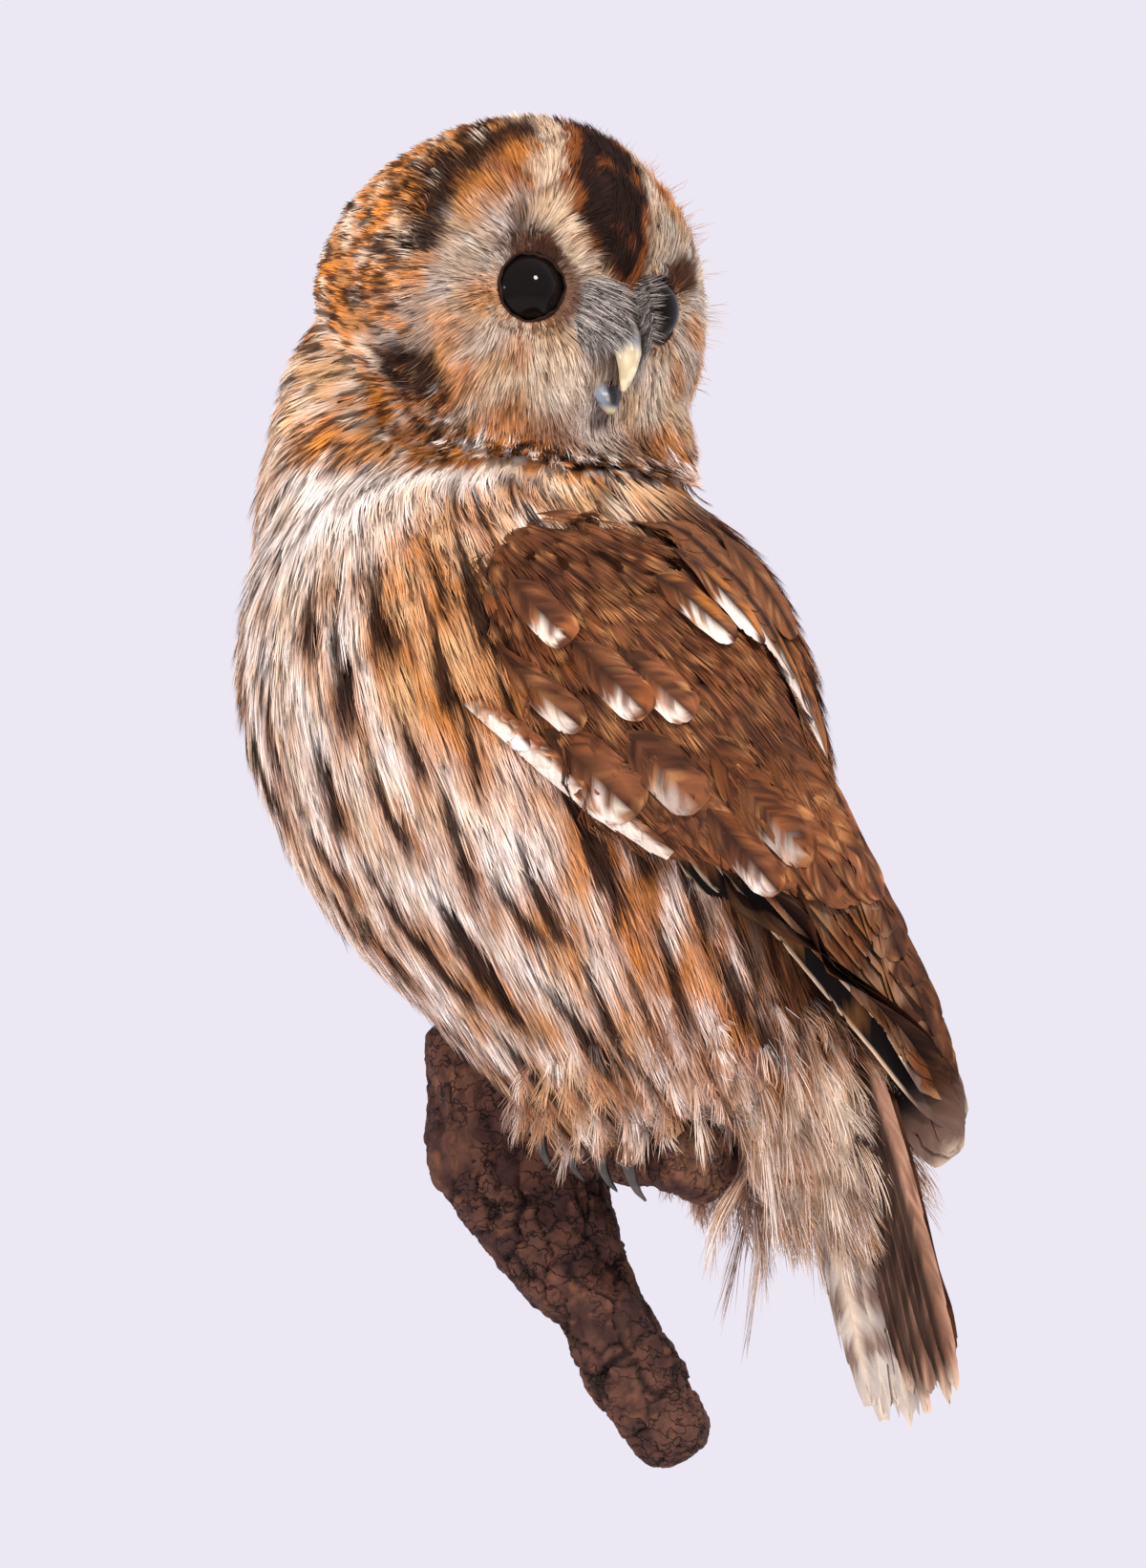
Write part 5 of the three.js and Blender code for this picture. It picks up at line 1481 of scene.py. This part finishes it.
# Cracks between plates and the smaller splits are darkened. This is partly the bark's darker crevices and partly
# painted shade in them.
bark_tone = mix(bark_tone, srgb(30, 20, 17), ramp(crack, 0.08, 0.015) * 0.9)
bark_tone = mix(bark_tone, srgb(44, 29, 23), ramp(small, 0.06, 0.01) * 0.5)
stub_end = ramp(branch_points @ np.array((0.6, -0.75, 0)), 36, 40)
bark_tone = mix(bark_tone, srgb(150, 104, 70) * (0.6 + 0.5 * noise(branch_points, 2.2, 243))[:, None], stub_end * 0.7)
wood = ramp(branch_points[:, 1], 77.5, 79)
from_pith = np.hypot(branch_points[:, 0] - SAWN_FACE[0] - 2, (branch_points[:, 2] - SAWN_FACE[2]) * 1.1 + 1)
growth = 0.5 + 0.5 * np.sin(from_pith * 4.2 + 2.5 * noise(branch_points, 5, 245))
sawn_tone = mix(srgb(176, 138, 98), srgb(134, 96, 62), growth * 0.6 + 0.3 * noise(branch_points, 1.2, 246))
bark_tone = mix(bark_tone, sawn_tone, wood)
branch = new_mesh("bark", branch_points, branch_quads, bark_tone, smooth=True)
bark_finish = grained("bark", 0.85, 0.2, 0.6, 700, 0.0006)
cracks = bark_finish.node_tree
place = cracks.nodes.new("ShaderNodeTexCoord")
warp = cracks.nodes.new("ShaderNodeTexNoise")
warp.inputs["Scale"].default_value = 240
shift = cracks.nodes.new("ShaderNodeVectorMath")
shift.operation = "MULTIPLY_ADD"
shift.inputs[1].default_value = (0.012, 0.012, 0.012)
squeeze = cracks.nodes.new("ShaderNodeVectorMath")
squeeze.operation = "MULTIPLY"
squeeze.inputs[1].default_value = (0.8, 0.8, 1.5)
mask = cracks.nodes.new("ShaderNodeTexNoise")
mask.inputs["Scale"].default_value = 60
close = cracks.nodes.new("ShaderNodeMapRange")
close.inputs["From Min"].default_value = 0.45
close.inputs["From Max"].default_value = 0.62
kept = cracks.nodes.new("ShaderNodeMath")
kept.operation = "MAXIMUM"
kept_wood = cracks.nodes.new("ShaderNodeMath")
kept_wood.operation = "MAXIMUM"
parts = cracks.nodes.new("ShaderNodeSeparateXYZ")
sawn = cracks.nodes.new("ShaderNodeMapRange")
sawn.inputs["From Min"].default_value = -0.003
sawn.inputs["From Max"].default_value = -0.001
cracks.links.new(place.outputs["Object"], parts.inputs["Vector"])
cracks.links.new(parts.outputs["Y"], sawn.inputs["Value"])
cracks.links.new(sawn.outputs["Result"], kept_wood.inputs[1])
cracks.links.new(kept.outputs["Value"], kept_wood.inputs[0])
cracks.links.new(place.outputs["Object"], mask.inputs["Vector"])
cracks.links.new(mask.outputs["Fac"], close.inputs["Value"])
cells = cracks.nodes.new("ShaderNodeTexVoronoi")
cells.feature = "DISTANCE_TO_EDGE"
cells.inputs["Scale"].default_value = 150
open_crack = cracks.nodes.new("ShaderNodeMapRange")
open_crack.inputs["From Max"].default_value = 0.05
open_crack.inputs["To Min"].default_value = 0.25
cracks.links.new(place.outputs["Object"], warp.inputs["Vector"])
cracks.links.new(warp.outputs["Color"], shift.inputs[0])
cracks.links.new(place.outputs["Object"], squeeze.inputs[0])
cracks.links.new(squeeze.outputs["Vector"], shift.inputs[2])
cracks.links.new(open_crack.outputs["Result"], kept.inputs[0])
cracks.links.new(close.outputs["Result"], kept.inputs[1])
cracks.links.new(shift.outputs["Vector"], cells.inputs["Vector"])
cracks.links.new(cells.outputs["Distance"], open_crack.inputs["Value"])
bark_shader = cracks.nodes["Principled BSDF"]
grain_tint = bark_shader.inputs["Base Color"].links[0].from_socket
# The base colour is darkened along thin crack lines, except where masked and on the sawn face. This is partly darker
# crevices and partly painted shade in them. The same lines drive a bump.
crack_shade_tint = cracks.nodes.new("ShaderNodeVectorMath")
crack_shade_tint.operation = "SCALE"
cracks.links.new(grain_tint, crack_shade_tint.inputs[0])
cracks.links.new(kept_wood.outputs["Value"], crack_shade_tint.inputs["Scale"])
cracks.links.new(crack_shade_tint.outputs["Vector"], bark_shader.inputs["Base Color"])
split = cracks.nodes.new("ShaderNodeBump")
split.inputs["Distance"].default_value = 0.0012
split.inputs["Strength"].default_value = 0.8
fine_normal = bark_shader.inputs["Normal"].links[0].from_socket
cracks.links.new(fine_normal, split.inputs["Normal"])
cracks.links.new(kept_wood.outputs["Value"], split.inputs["Height"])
cracks.links.new(split.outputs["Normal"], bark_shader.inputs["Normal"])
branch.data.materials.append(bark_finish)
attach(branch, "root")
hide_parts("branch")


# ---- Stage, light and camera ----
def area_light(name, place, target, size, power, colour=(1, 1, 1)):
    lamp = bpy.data.lights.new(name, "AREA")
    lamp.shape = "DISK"
    lamp.size, lamp.energy, lamp.color = size, power, colour
    holder = bpy.data.objects.new(name, lamp)
    holder.location = place
    holder.rotation_euler = (Vector(target) - Vector(place)).to_track_quat("-Z", "Y").to_euler()
    bpy.context.scene.collection.objects.link(holder)
    return holder


CAMERA_DISTANCE = 1.9
camera_data = bpy.data.cameras.new("camera")
camera_data.sensor_fit = "VERTICAL"
camera_data.sensor_height = 36
camera_data.lens = 36 * CAMERA_DISTANCE / 0.4105
camera = bpy.data.objects.new("camera", camera_data)
camera.location = to_row(np.array((0, -CAMERA_DISTANCE * 1000, 0)))
camera.rotation_euler = (math.pi / 2, 0, 0)
bpy.context.scene.collection.objects.link(camera)
bpy.context.scene.camera = camera

world = bpy.data.worlds.new("studio")
world.use_nodes = True
world.node_tree.nodes["Background"].inputs["Color"].default_value = (0.84, 0.805, 0.895, 1)
world.node_tree.nodes["Background"].inputs["Strength"].default_value = 1.0
bpy.context.scene.world = world
area_light("key", (0.75, -1.2, 0.95), (0, -0.08, 0.1), 0.28, 24, (1.0, 0.95, 0.88))
fill = area_light("fill", (-1.2, -1.0, 0.5), (0, -0.08, 0.1), 0.8, 16, (1.0, 0.95, 0.88))
area_light("glint", (-1.25, -0.8, 0.3), (0, -0.08, 0.1), 0.14, 1.2, (1.0, 0.97, 0.94))
fill.visible_glossy = False

bpy.context.scene.view_settings.view_transform = "Standard"

bpy.ops.mesh.primitive_plane_add(size=6, location=(0, -0.1, -0.6))
floor = bpy.context.object
floor_material = bpy.data.materials.new("floor")
floor_material.use_nodes = True
floor_material.node_tree.nodes["Principled BSDF"].inputs["Base Color"].default_value = (0.85, 0.84, 0.87, 1)
floor_material.node_tree.nodes["Principled BSDF"].inputs["Roughness"].default_value = 0.9
floor.data.materials.append(floor_material)
